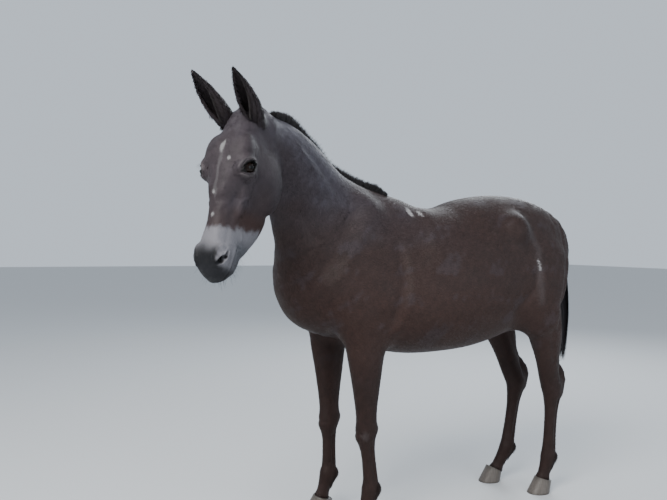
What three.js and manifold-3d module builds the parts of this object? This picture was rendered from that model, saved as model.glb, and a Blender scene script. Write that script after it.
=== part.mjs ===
// A life-size standing mule, looking to its left front. Millimetres: +X forward, +Y to its left, +Z up.
import * as THREE from "three";
import { mergeVertices } from "three/addons/utils/BufferGeometryUtils.js";
import Module from "manifold-3d";

const wasm = await Module();
wasm.setup();

// Driving dimensions
const WITHERS = 1400;
const CROUP = 1420;
const GAP = 0.3;
const EYE_RADIUS = 28;
const EAR_LENGTH = 218;
const HOOF_HEIGHT = 76;
const TAIL_LOCKS = 13;
const INTO_LEG = 60;
const SEED = 7;
const CENTRING = [-190, -94, 0];

// Small vector helpers on plain [x, y, z] arrays
const add = (a, b) => [a[0] + b[0], a[1] + b[1], a[2] + b[2]];
const sub = (a, b) => [a[0] - b[0], a[1] - b[1], a[2] - b[2]];
const scale = (a, k) => [a[0] * k, a[1] * k, a[2] * k];
const dot = (a, b) => a[0] * b[0] + a[1] * b[1] + a[2] * b[2];
const cross = (a, b) => [a[1] * b[2] - a[2] * b[1], a[2] * b[0] - a[0] * b[2], a[0] * b[1] - a[1] * b[0]];
const length = (a) => Math.hypot(a[0], a[1], a[2]);
const unit = (a) => scale(a, 1 / length(a));
const mix = (a, b, t) => a + (b - a) * t;
const radians = THREE.MathUtils.degToRad;

// Smooth union and smooth cut of two distances, blended over k
function join(a, b, k) {
  const h = Math.max(k - Math.abs(a - b), 0) / k;
  return Math.min(a, b) - (h * h * k) / 4;
}
const carve = (a, b, k) => -join(-a, b, k);

// A Catmull-Rom curve through rows of numbers, sampled a few times between each two rows
function smoothRows(rows, steps) {
  const out = [];
  for (let i = 0; i + 1 < rows.length; i++) {
    const [p0, p1, p2] = [rows[Math.max(i - 1, 0)], rows[i], rows[i + 1]];
    const p3 = rows[Math.min(i + 2, rows.length - 1)];
    for (let s = 0; s < steps; s++) {
      const t = s / steps;
      out.push(
        p1.map((_, k) => {
          const m1 = (p2[k] - p0[k]) / 2;
          const m2 = (p3[k] - p1[k]) / 2;
          const [t2, t3] = [t * t, t * t * t];
          const ends = p1[k] * (2 * t3 - 3 * t2 + 1) + p2[k] * (3 * t2 - 2 * t3);
          return ends + m1 * (t3 - 2 * t2 + t) + m2 * (t3 - t2);
        }),
      );
    }
  }
  out.push([...rows[rows.length - 1]]);
  return out;
}

// A loft is a list of sections along a bent spine. Each row is [x, y, z, half width, half depth, egg]:
// the width lies along the side axis, and egg above zero makes the far side of the depth axis narrower.
class Loft {
  constructor(rows, side, { steps = 4, power = 2 } = {}) {
    this.power = power;
    this.rows = smoothRows(rows.map((r) => [...r, ...Array(6 - r.length).fill(0)]), steps);
    this.points = this.rows.map((r) => r.slice(0, 3));
    this.frames = this.points.map((p, i) => {
      const ahead = this.points[Math.min(i + 1, this.points.length - 1)];
      const along = unit(sub(ahead, this.points[Math.max(i - 1, 0)]));
      const wide = unit(sub(side, scale(along, dot(side, along))));
      return { along, wide, deep: cross(along, wide) };
    });
    const box = new THREE.Box3();
    this.points.forEach((p) => box.expandByPoint(new THREE.Vector3(...p)));
    this.centre = box.getCenter(new THREE.Vector3()).toArray();
    const girth = (i) => Math.max(this.rows[i][3], this.rows[i][4]);
    this.reach = Math.max(...this.points.map((p, i) => length(sub(p, this.centre)) + girth(i)));
  }

  distance(p) {
    const far = length(sub(p, this.centre)) - this.reach;
    if (far > 150) return far;
    let best = Infinity;
    let pick = null;
    for (let i = 0; i + 1 < this.points.length; i++) {
      const a = this.points[i];
      const ab = sub(this.points[i + 1], a);
      const t = THREE.MathUtils.clamp(dot(sub(p, a), ab) / dot(ab, ab), 0, 1);
      const q = sub(p, add(a, scale(ab, t)));
      const [ra, rb] = [this.rows[i], this.rows[i + 1]];
      const size = Math.max(mix(ra[3], rb[3], t), mix(ra[4], rb[4], t));
      const near = length(q) - size;
      if (near < best) [best, pick] = [near, { i, t, q }];
    }
    const { i, t, q } = pick;
    const [ra, rb] = [this.rows[i], this.rows[i + 1]];
    const [fa, fb] = [this.frames[i], this.frames[i + 1]];
    const axis = (key) => add(scale(fa[key], 1 - t), scale(fb[key], t));
    const wide = mix(ra[3], rb[3], t);
    const deep = mix(ra[4], rb[4], t);
    const v = dot(q, axis("deep"));
    const taper = 1 - mix(ra[5], rb[5], t) * THREE.MathUtils.clamp(v / deep, -1, 1);
    const local = [dot(q, axis("wide")), v, dot(q, axis("along"))];
    return sectionDistance(local, [wide * taper, deep, Math.min(wide, deep)], this.power);
  }

  // The loft as a closed mesh with round ends cut flat
  mesh(sides) {
    const ring = (i) => {
      const [row, f] = [this.rows[i], this.frames[i]];
      return Array.from({ length: sides }, (_, k) => {
        const angle = (2 * Math.PI * k) / sides;
        const [c, s] = [Math.cos(angle), Math.sin(angle)];
        const across = scale(f.wide, row[3] * c * (1 - row[5] * s));
        return add(this.points[i], add(across, scale(f.deep, row[4] * s)));
      });
    };
    return ringMesh(this.rows.map((_, i) => ring(i)));
  }
}

function sectionDistance([u, v, w], [ru, rv, rw], power = 2) {
  const [a, b, c] = [Math.abs(u) / ru, Math.abs(v) / rv, Math.abs(w) / rw];
  if (power !== 2) {
    const k = Math.pow(Math.pow(a, power) + Math.pow(b, power) + Math.pow(c, power), 1 / power);
    return (k - 1) * Math.min(ru, rv);
  }
  const k0 = Math.hypot(a, b, c);
  const k1 = Math.hypot(a / ru, b / rv, c / rw);
  return k1 < 1e-9 ? -Math.min(ru, rv, rw) : (k0 * (k0 - 1)) / k1;
}

// An ellipsoid at a place, with its radii along the three axes of a frame
function blob(p, centre, radii, frame = [[1, 0, 0], [0, 1, 0], [0, 0, 1]]) {
  const q = sub(p, centre);
  return sectionDistance(frame.map((axis) => dot(q, axis)), radii);
}

// Rings of equal count joined into one closed mesh, with a fan over each end
function ringMesh(rings, start = null, end = null) {
  const count = rings[0].length;
  const positions = rings.flat(2);
  const index = [];
  for (let i = 0; i + 1 < rings.length; i++)
    for (let k = 0; k < count; k++) {
      const [a, b] = [i * count + k, i * count + ((k + 1) % count)];
      index.push(a, b, b + count, a, b + count, a + count);
    }
  const middle = (ring) => scale(ring.reduce(add), 1 / count);
  const last = (rings.length - 1) * count;
  const [c0, c1] = [positions.length / 3, positions.length / 3 + 1];
  positions.push(...(start ?? middle(rings[0])), ...(end ?? middle(rings[rings.length - 1])));
  for (let k = 0; k < count; k++) {
    index.push(c0, (k + 1) % count, k);
    index.push(c1, last + k, last + ((k + 1) % count));
  }
  return geometryOf(positions, index);
}

function geometryOf(positions, index) {
  const g = new THREE.BufferGeometry();
  g.setAttribute("position", new THREE.BufferAttribute(new Float32Array(positions), 3));
  g.setIndex(index);
  return g;
}

// The head's own frame: t runs from the poll down the face, h out of the forehead, s to the mule's left
const HEAD_YAW = radians(36);
const HEAD_PITCH = radians(74);
const FACE_TOP = [1062, 360, 1663];
const [cy, sy, cp, sp] = [Math.cos(HEAD_YAW), Math.sin(HEAD_YAW), Math.cos(HEAD_PITCH), Math.sin(HEAD_PITCH)];
const HEAD_T = [cy * cp, sy * cp, -sp];
const HEAD_H = [cy * sp, sy * sp, cp];
const HEAD_S = [-sy, cy, 0];
const onHead = (t, h, s) => add(FACE_TOP, add(scale(HEAD_T, t), add(scale(HEAD_H, h), scale(HEAD_S, s))));
const toHead = (p) => {
  const q = sub(p, FACE_TOP);
  return [dot(q, HEAD_T), dot(q, HEAD_H), dot(q, HEAD_S)];
};

// Trunk from rump to breast: [x, top, bottom, half width, egg]
const TRUNK = [
  [-700, 1170, 1075, 30, 0.1],
  [-675, 1246, 1005, 88, 0.1],
  [-630, 1324, 950, 140, 0.1],
  [-545, 1396, 900, 192, 0.12],
  [-440, 1428, 845, 226, 0.14],
  [-340, CROUP + 12, 795, 246, 0.12],
  [-220, 1412, 748, 268, 0.1],
  [-90, 1370, 716, 284, 0.1],
  [40, 1352, 706, 286, 0.12],
  [170, 1362, 708, 270, 0.18],
  [300, WITHERS - 8, 736, 232, 0.3],
  [430, 1370, 765, 205, 0.26],
  [545, 1262, 790, 180, 0.1],
  [620, 1140, 842, 130, 0],
  [660, 1036, 930, 58, 0],
];

// Neck spine from inside the trunk to the poll: [x, y, z, half width, half depth]
const NECK = [
  [430, 0, 1130, 135, 256],
  [526, 8, 1216, 118, 224],
  [628, 62, 1310, 98, 200],
  [730, 138, 1426, 80, 166],
  [828, 218, 1514, 68, 122],
  [922, 276, 1556, 60, 92],
];

// Skull and jaw in the head's frame: [t, dorsal, ventral, half width, egg]
const HEAD = [
  [-2, -68, -165, 46, 0],
  [34, -44, -220, 68, 0],
  [93, -18, -250, 76, 0],
  [156, -1, -270, 84, 0.06],
  [222, 4, -282, 90, 0.1],
  [288, 0, -284, 78, 0.04],
  [357, -5, -270, 63, 0],
  [425, -9, -224, 55, -0.02],
  [488, -9, -172, 55, -0.04],
  [532, -15, -152, 56, 0],
  [560, -33, -138, 48, 0],
  [580, -58, -114, 25, 0],
];

const trunkLoft = new Loft(
  TRUNK.map(([x, top, bottom, wide, egg]) => [x, 0, (top + bottom) / 2, wide, (top - bottom) / 2, egg]),
  [0, 1, 0],
  { power: 2.3 },
);
const neckLoft = new Loft(NECK, [-0.15, 1, 0]);
const headLoft = new Loft(
  HEAD.map(([t, top, bottom, wide, egg]) => [t, (top + bottom) / 2, 0, wide, (top - bottom) / 2, egg]),
  [0, 0, 1],
  { power: 2.4 },
);

const EYE = [226, -48, 75];

function headDistance(p) {
  const [t, h, s] = toHead(p);
  const q = [t, h, Math.abs(s)];
  let d = headLoft.distance([t, h, s]);
  const part = (centre, radii, k) => {
    d = join(d, blob(q, centre, radii), k);
  };
  part([232, -196, 60], [104, 84, 36], 30);
  part([170, -40, 62], [58, 30, 30], 34);
  part(EYE, [44, 38, 32.5], 14);
  part([306, -78, 57], [78, 15, 18], 20);
  part([522, -50, 36], [44, 36, 26], 16);
  part([556, -66, 0], [29, 36, 48], 16);
  part([532, -136, 0], [44, 26, 37], 14);
  d = carve(d, blob(q, [124, 14, 70], [32, 18, 17]), 22);
  return d;
}

// One foreleg from its joints. side is 1 for the left and -1 for the right.
function foreleg(side, { elbow, knee, fetlock, hoof }) {
  const at = (a, b, t, dx = 0) => add(add(scale(a, 1 - t), scale(b, t)), [dx, 0, 0]);
  const rows = [
    [...add(elbow, [44, -12 * side, 110]), 58, 118],
    [...add(elbow, [40, -8 * side, 30]), 58, 105],
    [...at(elbow, knee, 0.18, 38), 54, 86],
    [...at(elbow, knee, 0.45, 24), 44, 68],
    [...at(elbow, knee, 0.76, 9), 34, 50],
    [...at(elbow, knee, 0.93), 37, 46],
    [...at(knee, fetlock, 0.04), 39, 47],
    [...at(knee, fetlock, 0.16), 32, 40],
    [...at(knee, fetlock, 0.34, -2), 23, 33],
    [...at(knee, fetlock, 0.62, -3), 22, 32],
    [...at(knee, fetlock, 0.86, -3), 25, 34],
    [...fetlock, 30, 38],
    [...at(fetlock, hoof, 0.3), 26, 32],
    [...at(fetlock, hoof, 0.6), 26, 31],
    [...at(fetlock, hoof, 0.95), 33, 39],
  ];
  return new Loft(rows, [0, 1, 0], { steps: 3 });
}

// One hind leg from its joints; hock is the centre of the joint
function hindleg(side, { hip, stifle, hock, fetlock, hoof }) {
  const at = (a, b, t, dx = 0, dy = 0) => add(add(scale(a, 1 - t), scale(b, t)), [dx, dy * side, 0]);
  const shank = [
    [...at(hip, stifle, 0, 34), 92, 166],
    [...at(hip, stifle, 0.45, 12), 102, 166],
    [...at(hip, stifle, 0.8, -2), 96, 150],
    [...at(stifle, hock, 0.06, -50), 84, 122],
    [...at(stifle, hock, 0.22, -54), 70, 92],
    [...at(stifle, hock, 0.42, -42), 57, 80],
    [...at(stifle, hock, 0.64, -18), 45, 62],
    [...at(stifle, hock, 0.84, 0), 41, 56],
    [...at(stifle, hock, 0.98, 4), 42, 58],
    [...at(hock, fetlock, 0.09), 40, 52],
    [...at(hock, fetlock, 0.22), 32, 42],
    [...at(hock, fetlock, 0.4), 25, 35],
    [...at(hock, fetlock, 0.68), 24, 34],
    [...at(hock, fetlock, 0.9), 27, 37],
    [...fetlock, 31, 40],
    [...at(fetlock, hoof, 0.3), 27, 33],
    [...at(fetlock, hoof, 0.6), 27, 32],
    [...at(fetlock, hoof, 0.95), 33, 40],
  ];
  const heel = [
    [...at(stifle, hock, 0.3, -92), 26, 30],
    [...at(stifle, hock, 0.6, -66), 14, 17],
    [...add(hock, [-56, 0, 56]), 15, 17],
    [...add(hock, [-60, 0, 26]), 18, 19],
    [...add(hock, [-38, 0, -34]), 20, 20],
  ];
  return [new Loft(shank, [0, 1, 0], { steps: 3 }), new Loft(heel, [0, 1, 0], { steps: 3 })];
}

// The pose: joints of each leg, with the hoof at the middle of its sole
const LEGS = {
  fore_left: {
    side: 1,
    elbow: [382, 158, 820],
    knee: [408, 128, 408],
    fetlock: [383, 126, 172],
    hoof: [428, 126, 0],
  },
  fore_right: {
    side: -1,
    elbow: [404, -158, 820],
    knee: [458, -128, 402],
    fetlock: [461, -122, 170],
    hoof: [508, -130, 0],
  },
  hind_left: {
    side: 1,
    hip: [-535, 128, 1130],
    stifle: [-428, 168, 880],
    hock: [-622, 116, 512],
    fetlock: [-612, 104, 168],
    hoof: [-562, 98, 0],
  },
  hind_right: {
    side: -1,
    hip: [-535, -128, 1130],
    stifle: [-404, -168, 880],
    hock: [-586, -98, 508],
    fetlock: [-528, -96, 168],
    hoof: [-444, -122, 0],
  },
};
const isFore = (name) => name.startsWith("fore");
const legOf = (name, pose) => (isFore(name) ? [foreleg(pose.side, pose)] : hindleg(pose.side, pose));
const legLofts = Object.fromEntries(Object.entries(LEGS).map(([name, pose]) => [name, legOf(name, pose)]));

function legDistance(name, p) {
  const lofts = legLofts[name];
  let d = lofts[0].distance(p);
  if (lofts.length > 1) d = join(d, lofts[1].distance(p), 26);
  return d;
}

function barrelDistance(p) {
  let d = join(trunkLoft.distance(p), neckLoft.distance(p), 130);
  const q = [p[0], Math.abs(p[1]), p[2]];
  d = join(d, blob(q, [560, 112, 985], [82, 72, 110]), 60);
  d = join(d, blob(q, [445, 150, 950], [125, 66, 160]), 70);
  d = join(d, blob(q, [420, 95, 1200], [90, 70, 170]), 60);
  return join(d, blob(q, [-300, 185, 1255], [70, 60, 60]), 60);
}

function bodyDistance(p) {
  let d = barrelDistance(p);
  for (const name of Object.keys(LEGS)) {
    d = join(d, legDistance(name, p), name.startsWith("fore") ? 50 : 60);
  }
  return join(d, headDistance(p), 40);
}

// How far a ray from inside runs before it leaves the form
function reachOf(field, from, way) {
  let [inner, outer] = [0, 0];
  let d = field(from);
  while (d < 0 && outer < 900) {
    inner = outer;
    outer += Math.max(-d * 0.6, 3);
    d = field(add(from, scale(way, outer)));
  }
  for (let i = 0; i < 9; i++) {
    const middle = (inner + outer) / 2;
    if (field(add(from, scale(way, middle))) < 0) inner = middle;
    else outer = middle;
  }
  return (inner + outer) / 2;
}

// A closed skin of rings cast outward from a spine onto a field, with leaning rings over a round end
function castSkin(field, spine, side, sides, { first = 0, last = 0 } = {}) {
  const stations = spine.map((p, i) => {
    const along = unit(sub(spine[Math.min(i + 1, spine.length - 1)], spine[Math.max(i - 1, 0)]));
    const wide = unit(sub(side, scale(along, dot(side, along))));
    return { p, along, wide, deep: cross(along, wide), lean: 0 };
  });
  const quarter = Math.PI / 2;
  const leaning = (station, count, sign) =>
    Array.from({ length: count }, (_, i) => ({ ...station, lean: (sign * (i + 1) * quarter) / (count + 1) }));
  const all = [
    ...leaning(stations[0], first, -1).reverse(),
    ...stations,
    ...leaning(stations[stations.length - 1], last, 1),
  ];
  const cast = (s, way) => add(s.p, scale(way, reachOf(field, s.p, way)));
  const rings = all.map((s) =>
    Array.from({ length: sides }, (_, k) => {
      const turn = (2 * Math.PI * k) / sides;
      const flat = add(scale(s.wide, Math.cos(turn)), scale(s.deep, Math.sin(turn)));
      return cast(s, add(scale(flat, Math.cos(s.lean)), scale(s.along, Math.sin(s.lean))));
    }),
  );
  const [a, b] = [stations[0], stations[stations.length - 1]];
  return ringMesh(rings, first ? cast(a, scale(a.along, -1)) : a.p, last ? cast(b, b.along) : b.p);
}

// A spine of even steps along a smooth curve
function spineOf(points, count) {
  const fine = smoothRows(points, 12);
  const lengths = [0];
  for (let i = 1; i < fine.length; i++) {
    lengths.push(lengths[i - 1] + length(sub(fine[i], fine[i - 1])));
  }
  return Array.from({ length: count }, (_, k) => {
    const at = (lengths[lengths.length - 1] * k) / (count - 1);
    const i = Math.max(lengths.findIndex((l) => l >= at - 1e-6), 1);
    const rest = (at - lengths[i - 1]) / (lengths[i] - lengths[i - 1]);
    return add(fine[i - 1], scale(sub(fine[i], fine[i - 1]), rest));
  });
}

function solidOf(geometry) {
  const bare = new THREE.BufferGeometry();
  bare.setAttribute("position", geometry.getAttribute("position"));
  bare.setIndex(geometry.index);
  const merged = mergeVertices(bare, 1e-4);
  const vertProperties = merged.attributes.position.array;
  const triVerts = new Uint32Array(merged.index.array);
  return new wasm.Manifold(new wasm.Mesh({ numProp: 3, vertProperties, triVerts }));
}

// The largest closed surface of a solid
function largest(solid) {
  const pieces = solid.decompose();
  return pieces.reduce((a, b) => (b.volume() > a.volume() ? b : a));
}

// A solid half space: the block behind a plane, with its normal pointing out of the block
const BLOCK = 4000;
function behind(point, normal, shift = 0) {
  const n = unit(normal);
  const box = new THREE.BoxGeometry(BLOCK, BLOCK, BLOCK);
  const turn = new THREE.Quaternion().setFromUnitVectors(new THREE.Vector3(0, 0, 1), new THREE.Vector3(...n));
  const centre = add(point, scale(n, shift - BLOCK / 2));
  const place = new THREE.Matrix4().makeRotationFromQuaternion(turn).setPosition(...centre);
  box.applyMatrix4(place);
  return solidOf(box);
}

// The parting planes: each is [point, normal], and a region lies behind its planes
const SHOULDER = [[500, 0, 1238], [0.687, 0, 0.727]];
const NAPE = [onHead(112, -252, 0), [0.876, 0.43, -0.22]];
const flip = ([point, normal]) => [point, scale(normal, -1)];
const legRegion = (name) => {
  const { side, elbow } = LEGS[name];
  if (name.startsWith("hind")) {
    return [
      [[-300, 100 * side, 790], [0.357, -0.603 * side, 0.713]],
      [[0, side, 0], [0, -side, 0]],
    ];
  }
  return [
    [[0, 62 * side, 768], [0, -0.62 * side, 0.78]],
    [[elbow[0] + 140, 0, 0], [1, 0, 0]],
    [[elbow[0] - 120, 0, 0], [-1, 0, 0]],
  ];
};
const beyond = (p, [point, normal]) => dot(sub(p, point), unit(normal));
const inRegion = (p, planes) => Math.max(...planes.map((plane) => beyond(p, plane)));
const within = (field, planes, spare = 60) => (p) => Math.max(field(p), inRegion(p, planes) - spare);
const outside = (field, regions, spare = 60) => (p) =>
  Math.max(field(p), ...regions.map((planes) => -inRegion(p, planes) - spare));
const blockOf = (planes, shift) =>
  planes.map(([point, normal]) => behind(point, normal, shift)).reduce((a, b) => a.intersect(b));

const legNames = Object.keys(LEGS);
const legSpines = Object.fromEntries(legNames.map((name) => [name, legLofts[name][0].points]));

// Torso
const torsoSpine = spineOf(
  [[-655, 0, 1140], [-500, 0, 1120], [-100, 0, 1050], [300, 0, 1060], [590, 0, 1010], [640, 0, 1000]],
  26,
);
const trunkSkin = (field) =>
  solidOf(castSkin(within(field, [SHOULDER]), torsoSpine, [0, 1, 0], 30, { first: 3, last: 3 }));
const barrel = trunkSkin((p) => barrelDistance(p) + 1.5);
const trunk = trunkSkin(outside(bodyDistance, legNames.map(legRegion), INTO_LEG));
let torso = trunk.intersect(behind(...SHOULDER, -GAP / 2));
for (const name of legNames) torso = torso.subtract(blockOf(legRegion(name), GAP / 2));

// Neck
const neckRoute = NECK.slice(1, 4).map((r) => r.slice(0, 3));
const neckEnd = [[812, 203, 1508], [868, 240, 1558], [938, 270, 1552]];
const neckSpine = spineOf([[480, 0, 1180], ...neckRoute, ...neckEnd], 14);
let neck = solidOf(castSkin(within(bodyDistance, [flip(SHOULDER), NAPE]), neckSpine, [0, 1, 0], 26));
neck = neck.subtract(behind(...SHOULDER, GAP / 2)).intersect(behind(...NAPE, -GAP / 2));

// Head
const headSpine = [];
const skull = smoothRows(HEAD, 8);
for (let t = 10; t <= 535; t += 525 / 30) {
  const [, top, bottom] = skull.reduce((a, b) => (Math.abs(b[0] - t) < Math.abs(a[0] - t) ? b : a));
  headSpine.push(onHead(t, (top + bottom) / 2, 0));
}
const headField = within(bodyDistance, [flip(NAPE)]);
let head = solidOf(castSkin(headField, spineOf(headSpine, 30), HEAD_S, 30, { first: 2, last: 3 }));
head = head.subtract(behind(...NAPE, GAP / 2));

function geometryFrom(solid) {
  const m = solid.getMesh();
  return geometryOf(m.vertProperties, Array.from(m.triVerts));
}

// The same solid a little larger, about a point inside it
function grown(solid, centre, factor) {
  const g = geometryFrom(solid);
  g.translate(...scale(centre, -1)).scale(factor, factor, factor).translate(...centre);
  return solidOf(g);
}

// A three.js shape set at a point with its Y axis along one direction and its X axis near another
function placed(shape, point, up, over) {
  const y = unit(up);
  const x = unit(sub(over, scale(y, dot(over, y))));
  const axes = [x, y, cross(x, y)].map((axis) => new THREE.Vector3(...axis));
  shape.applyMatrix4(new THREE.Matrix4().makeBasis(...axes).setPosition(...point));
  return solidOf(shape);
}
const alongHead = (t, h, s) => add(scale(HEAD_T, t), add(scale(HEAD_H, h), scale(HEAD_S, s)));

// Eye openings: an almond between two arcs, cut through the lids to the ball
for (const side of [1, -1]) {
  const centre = onHead(EYE[0], EYE[1], EYE[2] * side);
  const out = unit(alongHead(-0.06, 0.34, 0.94 * side));
  const slant = unit(alongHead(0.62, 0.78, 0));
  const across = unit(cross(out, slant));
  const arc = (sign) => {
    const rod = new THREE.CylinderGeometry(31, 31, 60, 22);
    return placed(rod, add(add(centre, scale(out, 36)), scale(across, 17 * sign)), out, slant);
  };
  head = head.subtract(solidOf(new THREE.SphereGeometry(EYE_RADIUS + GAP, 18, 12).translate(...centre)));
  head = head.subtract(arc(1).intersect(arc(-1)));
}

// Nostrils: two hollows, the wider one low and forward
const NOSTRIL = [
  [542, -36, 49, 17, 11, 19],
  [527, -46, 57, 17, 7, 14],
];
for (const side of [1, -1])
  for (const [t, h, s, rt, rh, rs] of NOSTRIL) {
    const hollow = new THREE.SphereGeometry(1, 10, 8).scale(rh, rt, rs);
    head = head.subtract(placed(hollow, onHead(t, h, s * side), alongHead(0.92, 0.36, 0), HEAD_H));
  }

// Line of the mouth: a rounded groove from one corner round the front of the lips to the other
const MOUTH = [[474, -112], [488, -107], [506, -103], [526, -100], [546, -97], [562, -94]];
const lipPoint = ([t, h], way) => {
  const from = onHead(t, h, 0);
  return add(from, scale(way, reachOf(headDistance, from, way)));
};
const fromLeft = MOUTH.map((place) => lipPoint(place, HEAD_S));
const fromRight = MOUTH.map((place) => lipPoint(place, scale(HEAD_S, -1))).reverse();
const roundFront = [60, 30, 0, -30, -60].map((turn) =>
  lipPoint([562, -94], unit(alongHead(Math.cos(radians(turn)), 0.05, Math.sin(radians(turn))))),
);
const lipLine = [...fromLeft, ...roundFront, ...fromRight];
const lipRows = lipLine.map((p, i) => [...p, ...(i % (lipLine.length - 1) ? [3.4, 3.4] : [1.4, 1.4])]);
const lipGroove = new Loft(lipRows, HEAD_H, { steps: 1 });
head = head.subtract(solidOf(lipGroove.mesh(6)));

// Ears: a long curled blade, [u, half width, depth, curl in degrees, thickness]
const EAR = [
  [0, 26, 25, 158, 6],
  [0.12, 32, 30, 150, 5.5],
  [0.26, 40, 33, 132, 5],
  [0.42, 44, 31, 117, 4.5],
  [0.58, 41, 25, 106, 4],
  [0.74, 32, 17, 98, 3.5],
  [0.88, 19, 9, 92, 3],
  [1, 4, 3, 88, 2],
];
// How each ear stands: lean outward and pitch forward per 152 upward, then turn, bow, length and fullness
const EARS = {
  1: { lean: 29, pitch: 161, turned: 0.02, bow: -4, long: EAR_LENGTH + 3, full: 0.92 },
  [-1]: { lean: 36, pitch: 152, turned: 0.14, bow: 10, long: EAR_LENGTH + 12, full: 0.96 },
};
function earShape(side) {
  const base = onHead(38, -90, (side > 0 ? 54 : 60) * side);
  const forward = [cy, sy, 0];
  const { lean, pitch, turned, bow, long, full } = EARS[side];
  const rise = unit(add([0, 0, 152], add(scale(forward, pitch), scale(HEAD_S, lean * side))));
  const facing = add(forward, scale(HEAD_S, turned * side));
  const open = unit(sub(facing, scale(rise, dot(facing, rise))));
  const wide = cross(rise, open);
  const rows = smoothRows(EAR, 2);
  const columns = 11;
  const sheet = (shrink) =>
    rows.map(([u, half, d, curl, thick]) => {
      const w = half * full;
      const lift = add(base, add(scale(rise, long * u - 26 * (1 - u)), scale(open, 16 * u * u - 6 * u)));
      const middle = add(lift, scale(HEAD_S, side * (bow * Math.sin(Math.PI * u) - 6 * u * u)));
      return Array.from({ length: columns }, (_, j) => {
        const turn = radians(curl) * ((2 * j) / (columns - 1) - 1);
        const [a, b] = [(w - thick * shrink) * Math.sin(turn), -(d - thick * shrink) * Math.cos(turn)];
        return add(middle, add(scale(wide, a), scale(open, b)));
      });
    });
  const rings = sheet(0).map((outer, i) => [...outer, ...sheet(1)[i].reverse()]);
  const count = columns * 2;
  const index = [];
  const quad = (a, b, c, d) => index.push(a, c, b, a, d, c);
  for (let i = 0; i + 1 < rings.length; i++)
    for (let k = 0; k < count; k++) {
      const [a, b] = [i * count + k, i * count + ((k + 1) % count)];
      quad(a, b, b + count, a + count);
    }
  const last = (rings.length - 1) * count;
  for (let j = 0; j + 1 < columns; j++) {
    const [a, b, c, d] = [j, j + 1, count - 2 - j, count - 1 - j];
    quad(b, a, d, c);
    quad(last + a, last + b, last + c, last + d);
  }
  return solidOf(geometryOf(rings.flat(2), index));
}

// Clipped mane: short flat locks that overlap along the crest
let seed = SEED;
const random = () => {
  seed = (seed * 1664525 + 1013904223) % 4294967296;
  return seed / 4294967296;
};
function lock(root, way, flat, wide, thick, long, tip) {
  const rings = [[0, 1, 1], [0.7, 0.8, 0.7], [1, tip, tip]].map(([u, w, d]) =>
    Array.from({ length: 6 }, (_, k) => {
      const turn = (2 * Math.PI * k) / 6;
      const depth = scale(cross(way, flat), Math.sin(turn) * thick * d);
      const spread = add(scale(flat, Math.cos(turn) * wide * w), depth);
      return add(add(root, scale(way, long * u)), spread);
    }),
  );
  return solidOf(ringMesh(rings));
}
const crestSpine = spineOf(neckSpine.slice(1), 30);
for (let i = 1; i < crestSpine.length - 2; i++) {
  const along = unit(sub(crestSpine[i], crestSpine[i - 1]));
  const wide = unit(cross([0, 0, 1], along));
  const up = cross(along, wide);
  const top = add(crestSpine[i], scale(up, reachOf(bodyDistance, crestSpine[i], up)));
  const lean = unit(add(up, add(scale(along, -0.35 + 0.2 * random()), scale(wide, 0.3 * (random() - 0.5)))));
  const flat = unit(sub(along, scale(lean, dot(along, lean))));
  if (beyond(top, SHOULDER) < 16) continue;
  neck = neck.add(lock(add(top, scale(lean, -22)), lean, flat, 21, 7, 36 + 5 * random(), 0.5));
}
neck = neck.subtract(behind(...SHOULDER, GAP / 2)).intersect(behind(...NAPE, -GAP / 2));

const group = new THREE.Group();
function show(name, solid, colour, roughness = 0.8) {
  const mesh = new THREE.Mesh(
    geometryFrom(largest(solid)).translate(...CENTRING),
    new THREE.MeshStandardMaterial({ color: colour, roughness, metalness: 0 }),
  );
  mesh.name = name;
  group.add(mesh);
}
show("torso", torso, 0x4a2d24);
show("neck", neck, 0x4a2d24);
show("head", head, 0x4a2d24);
const headGrown = grown(head, onHead(200, -110, 0), 1.003);
for (const side of [1, -1]) {
  show(side > 0 ? "ear_left" : "ear_right", earShape(side).subtract(headGrown), 0x2a2624);
}
const hoofRegion = (name) => {
  const { fetlock, hoof } = LEGS[name];
  const down = unit(sub(hoof, fetlock));
  return [add(hoof, [-8, 0, HOOF_HEIGHT - 8]), [down[0] * 0.9 + 0.05, 0, down[2]]];
};

// A hoof: a wall that widens from the coronet to a flat sole, with its heels behind
function hoofShape(name) {
  const { hoof } = LEGS[name];
  const fore = name.startsWith("fore");
  const [wide, long] = fore ? [53, 65] : [48, 62];
  const levels = [
    [0, 1, 0],
    [0.08, 1, -1],
    [0.4, 0.93, -8],
    [0.75, 0.83, -17],
    [1, 0.76, -22],
  ];
  const rings = levels.map(([level, shrink, back]) =>
    Array.from({ length: 20 }, (_, k) => {
      const turn = (2 * Math.PI * k) / 20;
      const [c, s] = [Math.cos(turn), Math.sin(turn)];
      const heel = c < 0 ? 1 - 0.16 * c * c : 1;
      const rise = level * (HOOF_HEIGHT + c * 14 - (c < 0 ? -c * 10 : 0));
      return add(hoof, [back + c * long * shrink * (c < 0 ? 0.86 : 1), s * wide * shrink * heel, rise]);
    }),
  );
  return solidOf(ringMesh(rings));
}

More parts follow.
